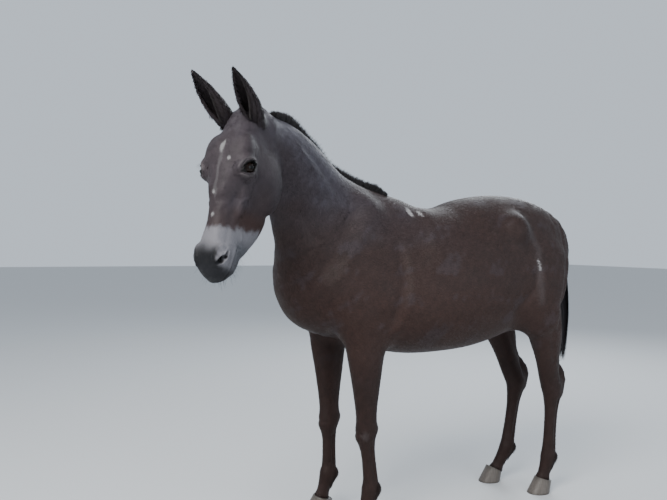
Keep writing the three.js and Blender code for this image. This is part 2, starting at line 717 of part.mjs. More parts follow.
for (const name of legNames) {
  const [side, region] = [LEGS[name].side, legRegion(name)];
  const [[c, n], fore] = [region[0], name.startsWith("fore")];
  const lofted = legLofts[name][0].points.filter((p) => p[2] < (fore ? 745 : 620) && p[2] > 40);
  const x = lofted[0][0] + (fore ? 8 : 40);
  const y = (fore ? 118 : 128) * side;
  const z = c[2] - (n[0] * (x - c[0]) + n[1] * (y - c[1])) / n[2];
  const top = add([x, y, z], scale(n, 48));
  const below = add(top, scale(n, fore ? -100 : -60));
  const spine = spineOf([top, below, ...lofted.slice(1)], fore ? 25 : 20);
  const skin = solidOf(castSkin(within(bodyDistance, region), spine, [0, 1, 0], 16));
  let leg = skin.add(barrel).intersect(blockOf(region, -GAP / 2));
  const [at, down] = hoofRegion(name);
  leg = leg.intersect(behind(at, down, -GAP / 2));
  const [which, hand] = name.split("_");
  show(`${which}leg_${hand}`, leg, 0x3a2620);
  show(`hoof_${which}_${hand}`, hoofShape(name).subtract(behind(at, down, GAP / 2)), 0x4f4a46, 0.6);
}

// Eyes
for (const side of [1, -1]) {
  const ball = new THREE.SphereGeometry(EYE_RADIUS, 18, 12);
  ball.translate(...onHead(EYE[0], EYE[1], EYE[2] * side));
  show(side > 0 ? "eye_left" : "eye_right", solidOf(ball), 0x15100e, 0.15);
}

// A tail that hangs from the dock: [x, y, z, half width, half depth]
const TAIL = [
  [-620, 0, 1306, 24, 30],
  [-676, 0, 1300, 27, 29],
  [-732, 2, 1252, 27, 26],
  [-766, 4, 1150, 26, 24],
  [-783, 6, 1010, 27, 24],
  [-790, 8, 870, 28, 24],
  [-792, 8, 740, 23, 19],
  [-792, 8, 590, 8, 7],
];
const tailCore = new Loft(TAIL, [0, 1, 0], { steps: 2 });
let tail = solidOf(tailCore.mesh(12));
for (let i = 0; i < TAIL_LOCKS; i++) {
  const at = 4 + ((i * 5) % TAIL_LOCKS) * 0.6;
  const turn = i * 2.4;
  const [k, rest] = [Math.floor(at), at % 1];
  const on = add(scale(tailCore.points[k], 1 - rest), scale(tailCore.points[k + 1], rest));
  const away = [Math.cos(turn), Math.sin(turn), 0];
  const root = add(on, scale(away, 13));
  const way = unit(add([0.04 - 0.05 * away[0] * random(), away[1] * 0.06, -1], scale(away, 0.05)));
  const flat = unit(cross(way, away));
  const long = Math.min(200 + 90 * random(), root[2] - 560);
  tail = tail.add(lock(root, way, flat, 15, 8, long, 0.2));
}
show("tail", tail.subtract(torso), 0x2c2726);

export default group;
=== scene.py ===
"""Looks of a life-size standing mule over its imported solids. Metres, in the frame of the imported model."""
import math

import bmesh
import bpy
import numpy as np
from mathutils import Matrix, Vector
from mathutils.bvhtree import BVHTree


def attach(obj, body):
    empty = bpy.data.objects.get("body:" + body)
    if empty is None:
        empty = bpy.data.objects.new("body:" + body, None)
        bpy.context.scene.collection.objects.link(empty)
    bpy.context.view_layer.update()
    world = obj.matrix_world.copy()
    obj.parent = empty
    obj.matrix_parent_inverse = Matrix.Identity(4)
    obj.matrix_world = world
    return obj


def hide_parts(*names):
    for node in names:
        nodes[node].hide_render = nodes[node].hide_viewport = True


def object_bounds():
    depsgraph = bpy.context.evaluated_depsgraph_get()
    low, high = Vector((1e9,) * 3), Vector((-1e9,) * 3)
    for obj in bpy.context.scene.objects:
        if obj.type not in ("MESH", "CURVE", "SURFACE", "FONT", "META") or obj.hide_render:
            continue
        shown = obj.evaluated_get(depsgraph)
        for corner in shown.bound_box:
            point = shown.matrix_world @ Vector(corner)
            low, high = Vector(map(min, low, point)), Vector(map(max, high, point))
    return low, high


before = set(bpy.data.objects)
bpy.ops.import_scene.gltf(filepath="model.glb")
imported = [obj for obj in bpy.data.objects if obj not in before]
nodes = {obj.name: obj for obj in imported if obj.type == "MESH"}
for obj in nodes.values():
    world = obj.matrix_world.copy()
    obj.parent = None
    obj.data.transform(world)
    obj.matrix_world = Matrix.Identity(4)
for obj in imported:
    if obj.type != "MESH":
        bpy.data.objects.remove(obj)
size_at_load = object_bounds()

CENTRING = np.array([-190.0, -94.0, 0.0])
COAT_DEPTH = 2.0
VOXEL = 0.0074
TRUNK_ROUNDS = 230
BODY_TUFTS = 66000
HEAD_TUFTS = 30000
LEG_TUFTS = 24000
EAR_HAIRS = 4200
RIM_HAIRS = 1500
MANE_HAIRS = 15000
TAIL_HAIRS = 5200
LASHES = 130
WHISKERS = 170
SIDES = {1: "left", -1: "right"}
UP = np.array([0, 0, 1.0])
rng = np.random.default_rng(11)


# The form as a field: negative inside, in the millimetres the solids were drawn in
def unit(a):
    a = np.asarray(a, float)
    return a / np.maximum(np.linalg.norm(a, axis=-1, keepdims=True), 1e-9)


def length(a):
    return np.linalg.norm(a, axis=-1)


def dots(a, b):
    return np.sum(a * b, axis=-1)


def bell(x, width):
    return np.exp(-((x / width) ** 2))


def fade(x, low, high):
    """0 at low, 1 at high, smooth between."""
    t = np.clip((x - low) / (high - low), 0, 1)
    return t * t * (3 - 2 * t)


def join(a, b, k):
    h = np.maximum(k - np.abs(a - b), 0) / k
    return np.minimum(a, b) - h * h * k / 4


def carve(a, b, k):
    return -join(-a, b, k)


def hermite(p0, p1, m0, m1, t):
    """The point at t on the curve from p0 to p1 with slopes m0 and m1."""
    place = p0 * (2 * t**3 - 3 * t**2 + 1) + p1 * (3 * t**2 - 2 * t**3)
    return place + m0 * (t**3 - 2 * t**2 + t) + m1 * (t**3 - t**2)


def smooth_rows(rows, steps):
    rows = np.asarray(rows, float)
    last = len(rows) - 1
    out = []
    for i in range(last):
        before, a, b, after = rows[max(i - 1, 0)], rows[i], rows[i + 1], rows[min(i + 2, last)]
        out += [hermite(a, b, (b - before) / 2, (after - a) / 2, s / steps) for s in range(steps)]
    return np.array([*out, rows[-1]])


def section_distance(q, r, power=2.0):
    a = np.abs(q) / r
    if power != 2:
        k = np.sum(a**power, axis=-1) ** (1 / power)
        return (k - 1) * np.minimum(r[..., 0], r[..., 1])
    k0, k1 = length(a), length(a / r)
    return np.where(k1 < 1e-9, -np.min(r, axis=-1), k0 * (k0 - 1) / np.maximum(k1, 1e-9))


class Loft:
    """Sections along a bent spine; each row is [x, y, z, half width, half depth, egg]."""

    def __init__(self, rows, side, steps=4, power=2.0):
        rows = [list(r) + [0] * (6 - len(r)) for r in rows]
        self.power, self.side = power, np.asarray(side, float)
        self.rows = smooth_rows(rows, steps)
        self.points = self.rows[:, :3]
        self.tangents = np.gradient(self.rows, axis=0)
        self.centre = (self.points.min(0) + self.points.max(0)) / 2
        self.reach = (length(self.points - self.centre) + self.rows[:, 3:5].max(1)).max()

    def distance(self, p):
        far = length(p - self.centre) - self.reach
        near = np.nonzero(far <= 150)[0]
        for start in range(0, len(near), 40000):
            some = near[start : start + 40000]
            u, v, w, wide, deep, taper, _ = self.locate(p[some])
            radii = np.stack([wide * taper, deep, np.minimum(wide, deep)], axis=1)
            far[some] = section_distance(np.stack([u, v, w], axis=1), radii, self.power)
        return far

    def curve(self, s):
        i = np.clip(s.astype(int), 0, len(self.rows) - 2)
        t = (s - i)[:, None]
        p0, p1, m0, m1 = self.rows[i], self.rows[i + 1], self.tangents[i], self.tangents[i + 1]
        first = (p1 - p0) * (6 * t - 6 * t**2) + m0 * (3 * t**2 - 4 * t + 1) + m1 * (3 * t**2 - 2 * t)
        second = (p1 - p0) * (6 - 12 * t) + m0 * (6 * t - 4) + m1 * (6 * t - 2)
        return hermite(p0, p1, m0, m1, t), first[:, :3], second[:, :3]

    def frame_at(self, s):
        row, along, _ = self.curve(s)
        along = unit(along)
        wide = unit(self.side - along * (along @ self.side)[:, None])
        return row, along, wide, np.cross(along, wide)

    def nearest(self, p):
        a, rows = self.points[:-1], self.rows
        ab = self.points[1:] - a
        length2 = dots(ab, ab)
        s = p @ ab.T - dots(a, ab)
        t = np.clip(s / length2, 0, 1)
        q2 = dots(p, p)[:, None] - 2 * p @ a.T + dots(a, a) - 2 * t * s + t * t * length2
        size = np.maximum(*[rows[:-1, k] * (1 - t) + rows[1:, k] * t for k in (3, 4)])
        i = np.argmin(np.sqrt(np.maximum(q2, 0)) - size, axis=1)
        s = i + t[np.arange(len(p)), i]
        for _ in range(3):
            c, c1, c2 = self.curve(s)
            q = p - c[:, :3]
            speed = dots(c1, c1)
            bend = np.maximum(speed - dots(q, c2), 0.4 * speed)
            s = np.clip(s + np.clip(dots(q, c1) / bend, -0.8, 0.8), 0, len(rows) - 1)
        return s

    def locate(self, p):
        s = self.nearest(p)
        row, along, side, up = self.frame_at(s)
        q = p - row[:, :3]
        u, v, w = [dots(q, axis) for axis in (side, up, along)]
        wide, deep = row[:, 3], row[:, 4]
        return u, v, w, wide, deep, 1 - row[:, 5] * np.clip(v / deep, -1, 1), s


def blob(p, centre, radii):
    return section_distance(p - np.asarray(centre, float), np.asarray(radii, float))


def with_blobs(d, p, blobs):
    for centre, radii, k in blobs:
        d = join(d, blob(p, centre, radii), k)
    return d


# The head's own frame: t down the face, h out of the forehead, s to the animal's left
YAW, PITCH = math.radians(36), math.radians(74)
FACE_TOP = np.array([1062.0, 360.0, 1663.0])
AHEAD = np.array([math.cos(YAW), math.sin(YAW), 0])
HEAD_AXES = np.array([
    AHEAD * math.cos(PITCH) - UP * math.sin(PITCH),
    AHEAD * math.sin(PITCH) + UP * math.cos(PITCH),
    [-math.sin(YAW), math.cos(YAW), 0],
])


def on_head(t, h, s):
    return FACE_TOP + np.array([t, h, s], float) @ HEAD_AXES


def to_head(p):
    return (p - FACE_TOP) @ HEAD_AXES.T


def mirrored(p, axis):
    q = p.copy()
    q[:, axis] = np.abs(q[:, axis])
    return q


# Trunk: x, top, bottom, half width, egg
TRUNK = [
    [-700, 1170, 1075, 30, 0.1],
    [-675, 1246, 1005, 88, 0.1],
    [-630, 1324, 950, 140, 0.1],
    [-545, 1396, 900, 192, 0.12],
    [-440, 1428, 845, 226, 0.14],
    [-340, 1432, 795, 246, 0.12],
    [-220, 1412, 748, 268, 0.1],
    [-90, 1370, 716, 284, 0.1],
    [40, 1352, 706, 286, 0.12],
    [170, 1362, 708, 270, 0.18],
    [300, 1392, 736, 232, 0.3],
    [430, 1370, 765, 205, 0.26],
    [545, 1262, 790, 180, 0.1],
    [620, 1140, 842, 130, 0],
    [660, 1036, 930, 58, 0],
]
# Neck and tail: x, y, z, half width, half depth
NECK = [
    [430, 0, 1130, 135, 256],
    [526, 8, 1216, 118, 224],
    [628, 62, 1310, 98, 200],
    [730, 138, 1426, 80, 166],
    [828, 218, 1514, 68, 122],
    [922, 276, 1556, 60, 92],
]
TAIL = [
    [-620, 0, 1306, 24, 30],
    [-676, 0, 1300, 27, 29],
    [-732, 2, 1252, 27, 26],
    [-766, 4, 1150, 26, 24],
    [-783, 6, 1010, 27, 24],
    [-790, 8, 870, 28, 24],
    [-792, 8, 740, 23, 19],
    [-792, 8, 590, 8, 7],
]
# Head: t, h of the face, h of the jaw, half width, egg
HEAD = [
    [-2, -68, -165, 46, 0],
    [34, -44, -220, 68, 0],
    [93, -18, -250, 76, 0],
    [156, -1, -270, 84, 0.06],
    [222, 4, -282, 90, 0.1],
    [288, 0, -284, 78, 0.04],
    [357, -5, -270, 63, 0],
    [425, -9, -224, 55, -0.02],
    [488, -9, -172, 55, -0.04],
    [532, -15, -152, 56, 0],
    [560, -33, -138, 48, 0],
    [580, -58, -114, 25, 0],
]
EYE = np.array([226.0, -48.0, 75.0])
EYE_RADIUS = 28.0
HOOF_HEIGHT = 76
# Swellings on head and body: centre, radii, blend
HEAD_BLOBS = [
    ([232, -196, 60], [104, 84, 36], 30),
    ([170, -40, 62], [58, 30, 30], 34),
    (EYE, [44, 38, 32.5], 14),
    ([306, -78, 57], [78, 15, 18], 20),
    ([522, -50, 36], [44, 36, 26], 16),
    ([556, -66, 0], [29, 36, 48], 16),
    ([532, -136, 0], [44, 26, 37], 14),
    ([30, -92, 52], [34, 30, 26], 22),
]
TEMPLE = ([124, 14, 70], [32, 18, 17])
BODY_BLOBS = [
    ([560, 112, 985], [82, 72, 110], 60),
    ([445, 150, 950], [125, 66, 160], 70),
    ([420, 95, 1200], [90, 70, 170], 60),
    ([-300, 185, 1255], [70, 60, 60], 60),
]

trunk_loft = Loft([[x, 0, (a + b) / 2, w, (a - b) / 2, e] for x, a, b, w, e in TRUNK], [0, 1, 0], power=2.3)
neck_loft = Loft(NECK, [-0.15, 1, 0])
head_loft = Loft([[t, (a + b) / 2, 0, w, (a - b) / 2, e] for t, a, b, w, e in HEAD], [0, 0, 1], power=2.4)
tail_loft = Loft(TAIL, [0, 1, 0], steps=2)


def near_head(p, reach=560):
    return length(to_head(p) - [290, -130, 0]) < reach


def head_distance(p):
    near = np.nonzero(near_head(p))[0]
    out = np.full(len(p), 400.0)
    local = to_head(p[near])
    q = mirrored(local, 2)
    d = with_blobs(head_loft.distance(local), q, HEAD_BLOBS)
    out[near] = carve(d, blob(q, *TEMPLE), 22)
    return out


def stretch(a, b, *rows):
    """Leg sections from joint a to joint b: share of the way, step forward, half width, half depth."""
    return [[*(a * (1 - t) + b * t + [dx, 0, 0]), wide, deep] for t, dx, wide, deep in rows]


def foreleg(side, elbow, knee, fetlock, hoof):
    return [
        [*(elbow + [44, -12 * side, 110]), 58, 118],
        [*(elbow + [40, -8 * side, 30]), 58, 105],
        *stretch(elbow, knee, (0.18, 38, 54, 86), (0.45, 24, 44, 68), (0.76, 9, 34, 50), (0.93, 0, 37, 46)),
        *stretch(knee, fetlock, (0.04, 0, 39, 47), (0.16, 0, 32, 40), (0.34, -2, 23, 33)),
        *stretch(knee, fetlock, (0.62, -3, 22, 32), (0.86, -3, 25, 34)),
        *stretch(fetlock, hoof, (0, 0, 30, 38), (0.3, 0, 26, 32), (0.6, 0, 26, 31), (0.95, 0, 33, 39)),
    ]


def shank(hip, stifle, hock, fetlock, hoof):
    return [
        *stretch(hip, stifle, (0, 34, 92, 166), (0.45, 12, 102, 166), (0.8, -2, 96, 150)),
        *stretch(stifle, hock, (0.06, -50, 84, 122), (0.22, -54, 70, 92), (0.42, -42, 57, 80)),
        *stretch(stifle, hock, (0.64, -18, 45, 62), (0.84, 0, 41, 56), (0.98, 4, 42, 58)),
        *stretch(hock, fetlock, (0.09, 0, 40, 52), (0.22, 0, 32, 42), (0.4, 0, 25, 35)),
        *stretch(hock, fetlock, (0.68, 0, 24, 34), (0.9, 0, 27, 37)),
        *stretch(fetlock, hoof, (0, 0, 31, 40), (0.3, 0, 27, 33), (0.6, 0, 27, 32), (0.95, 0, 33, 40)),
    ]


def heel(stifle, hock):
    return [
        *stretch(stifle, hock, (0.3, -92, 26, 30), (0.6, -66, 14, 17)),
        [*(hock + [-56, 0, 56]), 15, 17],
        [*(hock + [-60, 0, 26]), 18, 19],
        [*(hock + [-38, 0, -34]), 20, 20],
    ]


# Each foreleg: side, elbow, knee, fetlock, middle of the sole
FORE = {
    "fore_left": (1, [382, 158, 820], [408, 128, 408], [383, 126, 172], [428, 126, 0]),
    "fore_right": (-1, [404, -158, 820], [458, -128, 402], [461, -122, 170], [508, -130, 0]),
}
# Each hind leg: hip, stifle, hock, fetlock, middle of the sole
HIND = {
    "hind_left": ([-535, 128, 1130], [-428, 168, 880], [-622, 116, 512], [-612, 104, 168], [-562, 98, 0]),
    "hind_right": ([-535, -128, 1130], [-404, -168, 880], [-586, -98, 508], [-528, -96, 168], [-444, -122, 0]),
}
LEGS, JOINTS = {}, {}
for name, pose in {**FORE, **HIND}.items():
    pose = [np.array(p, float) for p in pose]
    lofts = [foreleg(*pose)] if name in FORE else [shank(*pose), heel(pose[1], pose[2])]
    LEGS[name] = [Loft(rows, [0, 1, 0], steps=3) for rows in lofts]
    JOINTS[name] = dict(zip(("bend", "fetlock", "hoof"), pose[-3:]))


def coronet(name):
    """A point on the top of the hoof and the direction out of it, down the pastern."""
    fetlock, hoof = JOINTS[name]["fetlock"], JOINTS[name]["hoof"]
    down = unit(hoof - fetlock)
    return hoof + [-8, 0, HOOF_HEIGHT - 8], unit(np.array([down[0] * 0.9 + 0.05, 0, down[2]]))


def body_distance(p):
    d = join(trunk_loft.distance(p), neck_loft.distance(p), 130)
    d = with_blobs(d, mirrored(p, 1), BODY_BLOBS)
    for name, lofts in LEGS.items():
        leg = lofts[0].distance(p)
        if len(lofts) > 1:
            leg = join(leg, lofts[1].distance(p), 26)
        point, down = coronet(name)
        low = np.nonzero(leg < 60)[0]
        leg[low] = np.maximum(leg[low], (p[low] - point) @ down - 5)
        d = join(d, leg, 50 if name in FORE else 60)
    return join(d, head_distance(p), 40)


# The eye opening is where two circles of this radius overlap, each moved this far off the middle
LID_RADIUS, LID_SHIFT = 31, 17


def lids(side):
    """The ball's centre, the way the opening faces, and the ways along and across it."""
    out = unit(np.array([-0.06, 0.34, 0.94 * side]) @ HEAD_AXES)
    slant = unit(np.array([0.62, 0.78, 0.0]) @ HEAD_AXES)
    return on_head(*(EYE * [1, 1, side])), out, unit(slant - out * (slant @ out)), unit(np.cross(out, slant))


def almond(p, side):
    """Distance outside the eye opening, depth along its axis, distance from the ball's centre, x and y."""
    centre, out, along, across = lids(side)
    q = p - centre
    x, y = q @ along, q @ across
    edge = np.maximum(np.hypot(x, y - LID_SHIFT), np.hypot(x, y + LID_SHIFT)) - LID_RADIUS
    return edge, q @ out, length(q), x, y


def along_line(p, line):
    """Distance from points to a polyline."""
    line = np.asarray(line, float)
    best = np.full(len(p), np.inf)
    for a, b in zip(line[:-1], line[1:]):
        ab = b - a
        t = np.clip((p - a) @ ab / (ab @ ab), 0, 1)[:, None]
        best = np.minimum(best, length(p - a - ab * t))
    return best


# Muscle, bone and vein lines of both sides, seen from the side: [height, width, (x, z) ...]
SIDE_LINES = [
    [5, 30, (395, 1330), (470, 1200), (560, 1060)],
    [-6, 26, (480, 1325), (566, 1200), (628, 1080)],
    [-8, 26, (300, 1170), (292, 1030), (336, 900)],
    [6, 52, (400, 1040), (362, 940)],
    [5, 30, (592, 1036), (598, 1020)],
    [9, 22, (322, 846), (330, 836)],
    [6, 34, (-330, 1318), (-322, 1300)],
    [-7, 48, (-238, 1262), (-250, 1200)],
    [-7, 26, (-296, 900), (-372, 985), (-402, 1070)],
    [-6, 15, (-642, 1190), (-606, 1060), (-566, 900), (-556, 810)],
    [5, 44, (-338, 1040), (-404, 930)],
    [-4, 14, (-515, 790), (-572, 640)],
    [-3, 60, (-470, 1180), (-520, 1010)],
]
RIBS = [[0.5, 14, (x, 1215), (x - 34, 1010), (x - 74, 850)] for x in range(-190, 240, 48)]
# Lines on the head in its own frame: [height, width, (t, h, s) ...]
HEAD_LINES = [
    [4.5, 9, (236, -90, 84), (300, -92, 74), (372, -92, 56)],
    [-5, 13, (300, -150, 66), (330, -212, 58), (330, -262, 46)],
    [4, 10, (140, -78, 82), (180, -76, 92), (206, -66, 96)],
    [3.4, 8, (190, -32, 84), (214, -14, 84), (246, -10, 74)],
    [-3, 9, (250, -80, 90), (282, -56, 78), (330, -44, 60)],
    [2.5, 11, (300, -8, 30), (400, -14, 30), (470, -22, 32)],
    [-3.5, 13, (330, -50, 58), (420, -52, 54), (478, -46, 54)],
    [-3, 11, (470, -160, 0), (505, -164, 0)],
    [3, 8, (495, -30, 52), (512, -18, 44), (536, -20, 38), (556, -34, 38)],
    [2.6, 7, (500, -62, 62), (526, -66, 62), (550, -56, 56)],
    [-2.2, 5, (466, -84, 56), (478, -100, 56), (482, -124, 52)],
    [-1.4, 4, (454, -90, 57), (466, -108, 56), (468, -128, 54)],
    [2, 6, (400, -100, 60), (430, -118, 58), (455, -122, 56)],
    [1.8, 4, (300, -120, 80), (322, -78, 74), (350, -60, 66), (400, -58, 58)],
    [-4, 12, (36, -60, 0), (60, -38, 0)],
    [3, 16, (110, -6, 26), (180, 4, 32)],
]
# The line between the lips: t, h
MOUTH = [[474, -112], [488, -107], [506, -103], [526, -100], [546, -97], [562, -94], [590, -92]]
# Two pits make each nostril: centre, radii along, over and out, depth
NOSTRIL = [([540, -38, 50], [19, 10, 22], 17), ([524, -48, 58], [19, 6.5, 16], 13)]
# Knobs of bone: the joint, how far from it in x and z, height, width
FETLOCK_KNOBS = [("fetlock", -26, -4, 7, 22), ("fetlock", 18, 6, 3, 26)]
KNEE_KNOBS = [("bend", -44, 14, 9, 22), ("bend", 34, 22, 4, 24), ("bend", 34, -22, 4, 20)]
HOCK_KNOBS = [("bend", 30, 4, 4, 24), ("bend", 10, -34, 3, 26)]


def face_lift(p):
    q = mirrored(to_head(p), 2)
    lift = np.zeros(len(p))
    for height, width, *line in HEAD_LINES:
        lift += height * bell(along_line(q, line), width)
    below = q[:, 1] - np.interp(q[:, 0], *zip(*MOUTH))
    lip = 2.2 * bell(below - 8, 7) * fade(q[:, 0], 478, 500)
    lift += lip - 5 * bell(below, 2.6) * fade(q[:, 0], 472, 484)
    along, over = unit([0.92, 0.36, 0]), np.array([-0.36, 0.92, 0])
    for centre, (r_along, r_over, r_out), deep in NOSTRIL:
        v = q - centre
        e = np.sqrt(((v @ along) / r_along) ** 2 + ((v @ over) / r_over) ** 2 + (v[:, 2] / r_out) ** 2)
        lift += 2.0 * bell(e - 1.35, 0.35) - deep * fade(1.15 - e, 0, 0.5)
    for side in SIDES:
        edge, z, r, _, y = almond(p, side)
        here, crease = fade(z, -6, 6), fade(np.abs(y), 2, 10)
        lift += here * 2.0 * bell(edge - 2.6, 2.6)
        lift -= here * 2.4 * bell(edge - 9, 2.4) * crease
        lift += here * 1.6 * bell(edge - 14, 4) * crease
        lift -= here * fade(0.9 - edge, 0, 1.8) * np.clip(r - EYE_RADIUS + 2.0, 0, 15)
    return lift


def side_lift(p):
    side, flat = fade(np.abs(p[:, 1]), 40, 110), p[:, [0, 2]]
    lift = np.zeros(len(p))
    for height, width, *line in SIDE_LINES + RIBS:
        lift += side * height * bell(along_line(flat, line), width)
    return lift


def leg_lift(p, name):
    joints = JOINTS[name]
    (x1, _, z1), (x2, _, z2) = joints["bend"], joints["fetlock"]
    flat = p[:, [0, 2]]
    lift = -4.0 * bell(along_line(flat, [(x1 - 12, z1 - 60), (x2 - 14, z2 + 44)]), 5)
    lift += 1.5 * bell(along_line(flat, [(x1 - 26, z1 - 60), (x2 - 27, z2 + 40)]), 7)
    for joint, dx, dz, height, width in FETLOCK_KNOBS + (KNEE_KNOBS if name in FORE else HOCK_KNOBS):
        lift += height * bell(length(p - joints[joint] - [dx, 0, dz]), width)
    point, down = coronet(name)
    lift += 2.6 * bell((p - point) @ down + 12, 8)
    if name in FORE:
        return lift - 2.5 * bell(p[:, 2] - z1, 7) * fade(p[:, 0], x1, x1 + 30)
    return lift - 5 * bell(along_line(flat, [(x1 - 24, z1 + 110), (x1 - 22, z1 + 30)]), 12)


def neck_lift(p):
    _, v, _, _, deep, _, s = neck_loft.locate(p)
    height = v / deep
    lift = -5 * bell(height + 0.52, 0.1) + 3 * bell(height + 0.74, 0.12)
    lift += 3 * bell(height - 0.1 - 0.02 * s, 0.16) - 3 * bell(height - 0.5, 0.1)
    return lift * fade(s, 1.5, 5) * (1 - fade(s, 17.5, 20))


def lift_of(p):
    """How far the skin lies outside the plain form, for folds, bones, lids, nostrils and lips."""
    lift = np.zeros(len(p))
    near = np.nonzero(near_head(p, 430) & (head_distance(p) < 14))[0]
    lift[near] += face_lift(p[near])
    away = np.nonzero(~near_head(p, 400))[0]
    lift[away] += side_lift(p[away])
    for name, joints in JOINTS.items():
        x, y, z = (p - joints["bend"]).T
        low = np.nonzero((np.abs(y) < 75) & (z < 130) & (np.abs(x) < 170))[0]
        lift[low] += leg_lift(p[low], name)
    body = np.nonzero((neck_loft.distance(p) < 26) & ~near_head(p, 330))[0]
    lift[body] += neck_lift(p[body])
    return lift


def settle(points, field, steps=3, limit=12.0):
    """Moves points onto the field's surface along its slope."""
    d = field(points)
    e = 0.8
    slope = np.stack([field(points + axis * e) - d for axis in np.eye(3)], axis=1) / e
    size = np.maximum(np.linalg.norm(slope, axis=1, keepdims=True), 0.25)
    way = slope / size
    moved = points.copy()
    for _ in range(steps):
        moved -= way * np.clip(d[:, None] / size, -limit, limit)
        d = field(moved)
    return moved


def to_row(p):
    return (np.asarray(p) + CENTRING) / 1000


def to_drawn(p):
    return np.asarray(p) * 1000 - CENTRING


# Mesh helpers
def coords(mesh, key="co"):
    out = np.zeros(len(mesh.vertices) * 3, np.float32)
    mesh.vertices.foreach_get(key, out)
    return out.reshape(-1, 3).astype(float)


def set_coords(mesh, points):
    mesh.vertices.foreach_set("co", np.asarray(points, np.float32).ravel())
    mesh.update()


def edge_ends(mesh):
    edges = np.zeros(len(mesh.edges) * 2, np.int32)
    mesh.edges.foreach_get("vertices", edges)
    return edges.reshape(-1, 2).T


def smooth(mesh):
    mesh.polygons.foreach_set("use_smooth", np.ones(len(mesh.polygons), bool))
    mesh.update()
    return mesh


def mesh_of(name, points, faces):
    mesh = bpy.data.meshes.new(name)
    mesh.from_pydata(np.asarray(points).tolist(), [], faces)
    return smooth(mesh)


def mesh_of_triangles(name, points, triangles):
    mesh = bpy.data.meshes.new(name)
    mesh.vertices.add(len(points))
    mesh.vertices.foreach_set("co", np.asarray(points, np.float32).ravel())
    mesh.loops.add(len(triangles) * 3)
    mesh.loops.foreach_set("vertex_index", np.asarray(triangles, np.int32).ravel())
    mesh.polygons.add(len(triangles))
    mesh.polygons.foreach_set("loop_start", np.arange(0, len(triangles) * 3, 3, dtype=np.int32))
    mesh.update(calc_edges=True)
    return smooth(mesh)


def ring_faces(rings, count, order=(0, 1, 2, 3)):
    """Faces between closed rings of count points, starting from each point of the lower ring."""
    a = (np.arange(rings - 1)[:, None] * count + np.arange(count)).ravel()
    b = (np.arange(rings - 1)[:, None] * count + (np.arange(count) + 1) % count).ravel()
    return np.stack([a, b, b + count, a + count], axis=1)[:, order].tolist()


def paint(mesh, tones):
    attribute = mesh.attributes.new("tone", "FLOAT_COLOR", "POINT")
    rgba = np.hstack([np.clip(tones, 0, 1), np.ones((len(tones), 1))])
    attribute.data.foreach_set("color", rgba.astype(np.float32).ravel())


def place(name, data):
    obj = bpy.data.objects.new(name, data)
    bpy.context.scene.collection.objects.link(obj)
    return obj


def show(name, mesh, material, replaces=()):
    mesh.materials.clear()
    mesh.materials.append(material)
    obj = place(name, mesh)
    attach(obj, "root")
    if replaces:
        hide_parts(*replaces)
    return obj


# Materials
def surface(name, roughness, specular=0.4, sheen=0.0, bump=(), colour=None):
    """A material; its colour is the mesh's tone unless one is given. Each bump is scale, height, stretch."""
    material = bpy.data.materials.new(name)
    material.use_nodes = True
    tree = material.node_tree
    shader = tree.nodes["Principled BSDF"]

    def fill(node, **values):
        for key, value in values.items():
            node.inputs[key.replace("_", " ")].default_value = value
        return node

    fill(shader, Roughness=roughness, Specular_IOR_Level=specular, Sheen_Weight=sheen, Sheen_Roughness=0.45)
    if colour:
        fill(shader, Base_Color=(*colour, 1))
    else:
        tone = tree.nodes.new("ShaderNodeAttribute")
        tone.attribute_name = "tone"
        tree.links.new(tone.outputs["Color"], shader.inputs["Base Color"])
    normal = None
    spot = tree.nodes.new("ShaderNodeTexCoord")
    for scale, height, scales in bump:
        mapping = fill(tree.nodes.new("ShaderNodeMapping"), Scale=scales)
        noise = fill(tree.nodes.new("ShaderNodeTexNoise"), Scale=scale, Detail=3)
        node = fill(tree.nodes.new("ShaderNodeBump"), Distance=height, Strength=0.7)
        tree.links.new(spot.outputs["Object"], mapping.inputs["Vector"])
        tree.links.new(mapping.outputs["Vector"], noise.inputs["Vector"])
        tree.links.new(noise.outputs["Fac"], node.inputs["Height"])
        if normal:
            tree.links.new(normal.outputs["Normal"], node.inputs["Normal"])
        normal = node
    if normal:
        tree.links.new(normal.outputs["Normal"], shader.inputs["Normal"])
    return material


def waves(p, scale, seed):
    """Smooth noise from a few sine waves, about -1 to 1."""
    r = np.random.default_rng(seed)
    out = np.zeros(len(p))
    for _ in range(7):
        way = unit(r.normal(size=3)) * r.uniform(0.7, 1.6) / scale
        out += np.sin(p @ way * 2 * math.pi + r.uniform(0, 6.28))
    return out / 3.5


CHESTNUT = np.array([0.029, 0.0165, 0.0145])
RED = np.array([0.036, 0.0175, 0.0135])
COOL_TONE_AND_SKY_SHEEN = np.array([0.042, 0.036, 0.044])
LEG = np.array([0.0195, 0.0092, 0.0072])
CREST_SKY_SHEEN = np.array([0.078, 0.075, 0.095])
MUZZLE = np.array([0.165, 0.16, 0.175])
CHIN = np.array([0.065, 0.068, 0.078])
NOSE = np.array([0.008, 0.008, 0.0095])
PALE = np.array([0.085, 0.074, 0.076])
WHITE = np.array([0.36, 0.35, 0.35])
DARK = np.array([0.011, 0.0095, 0.0105])


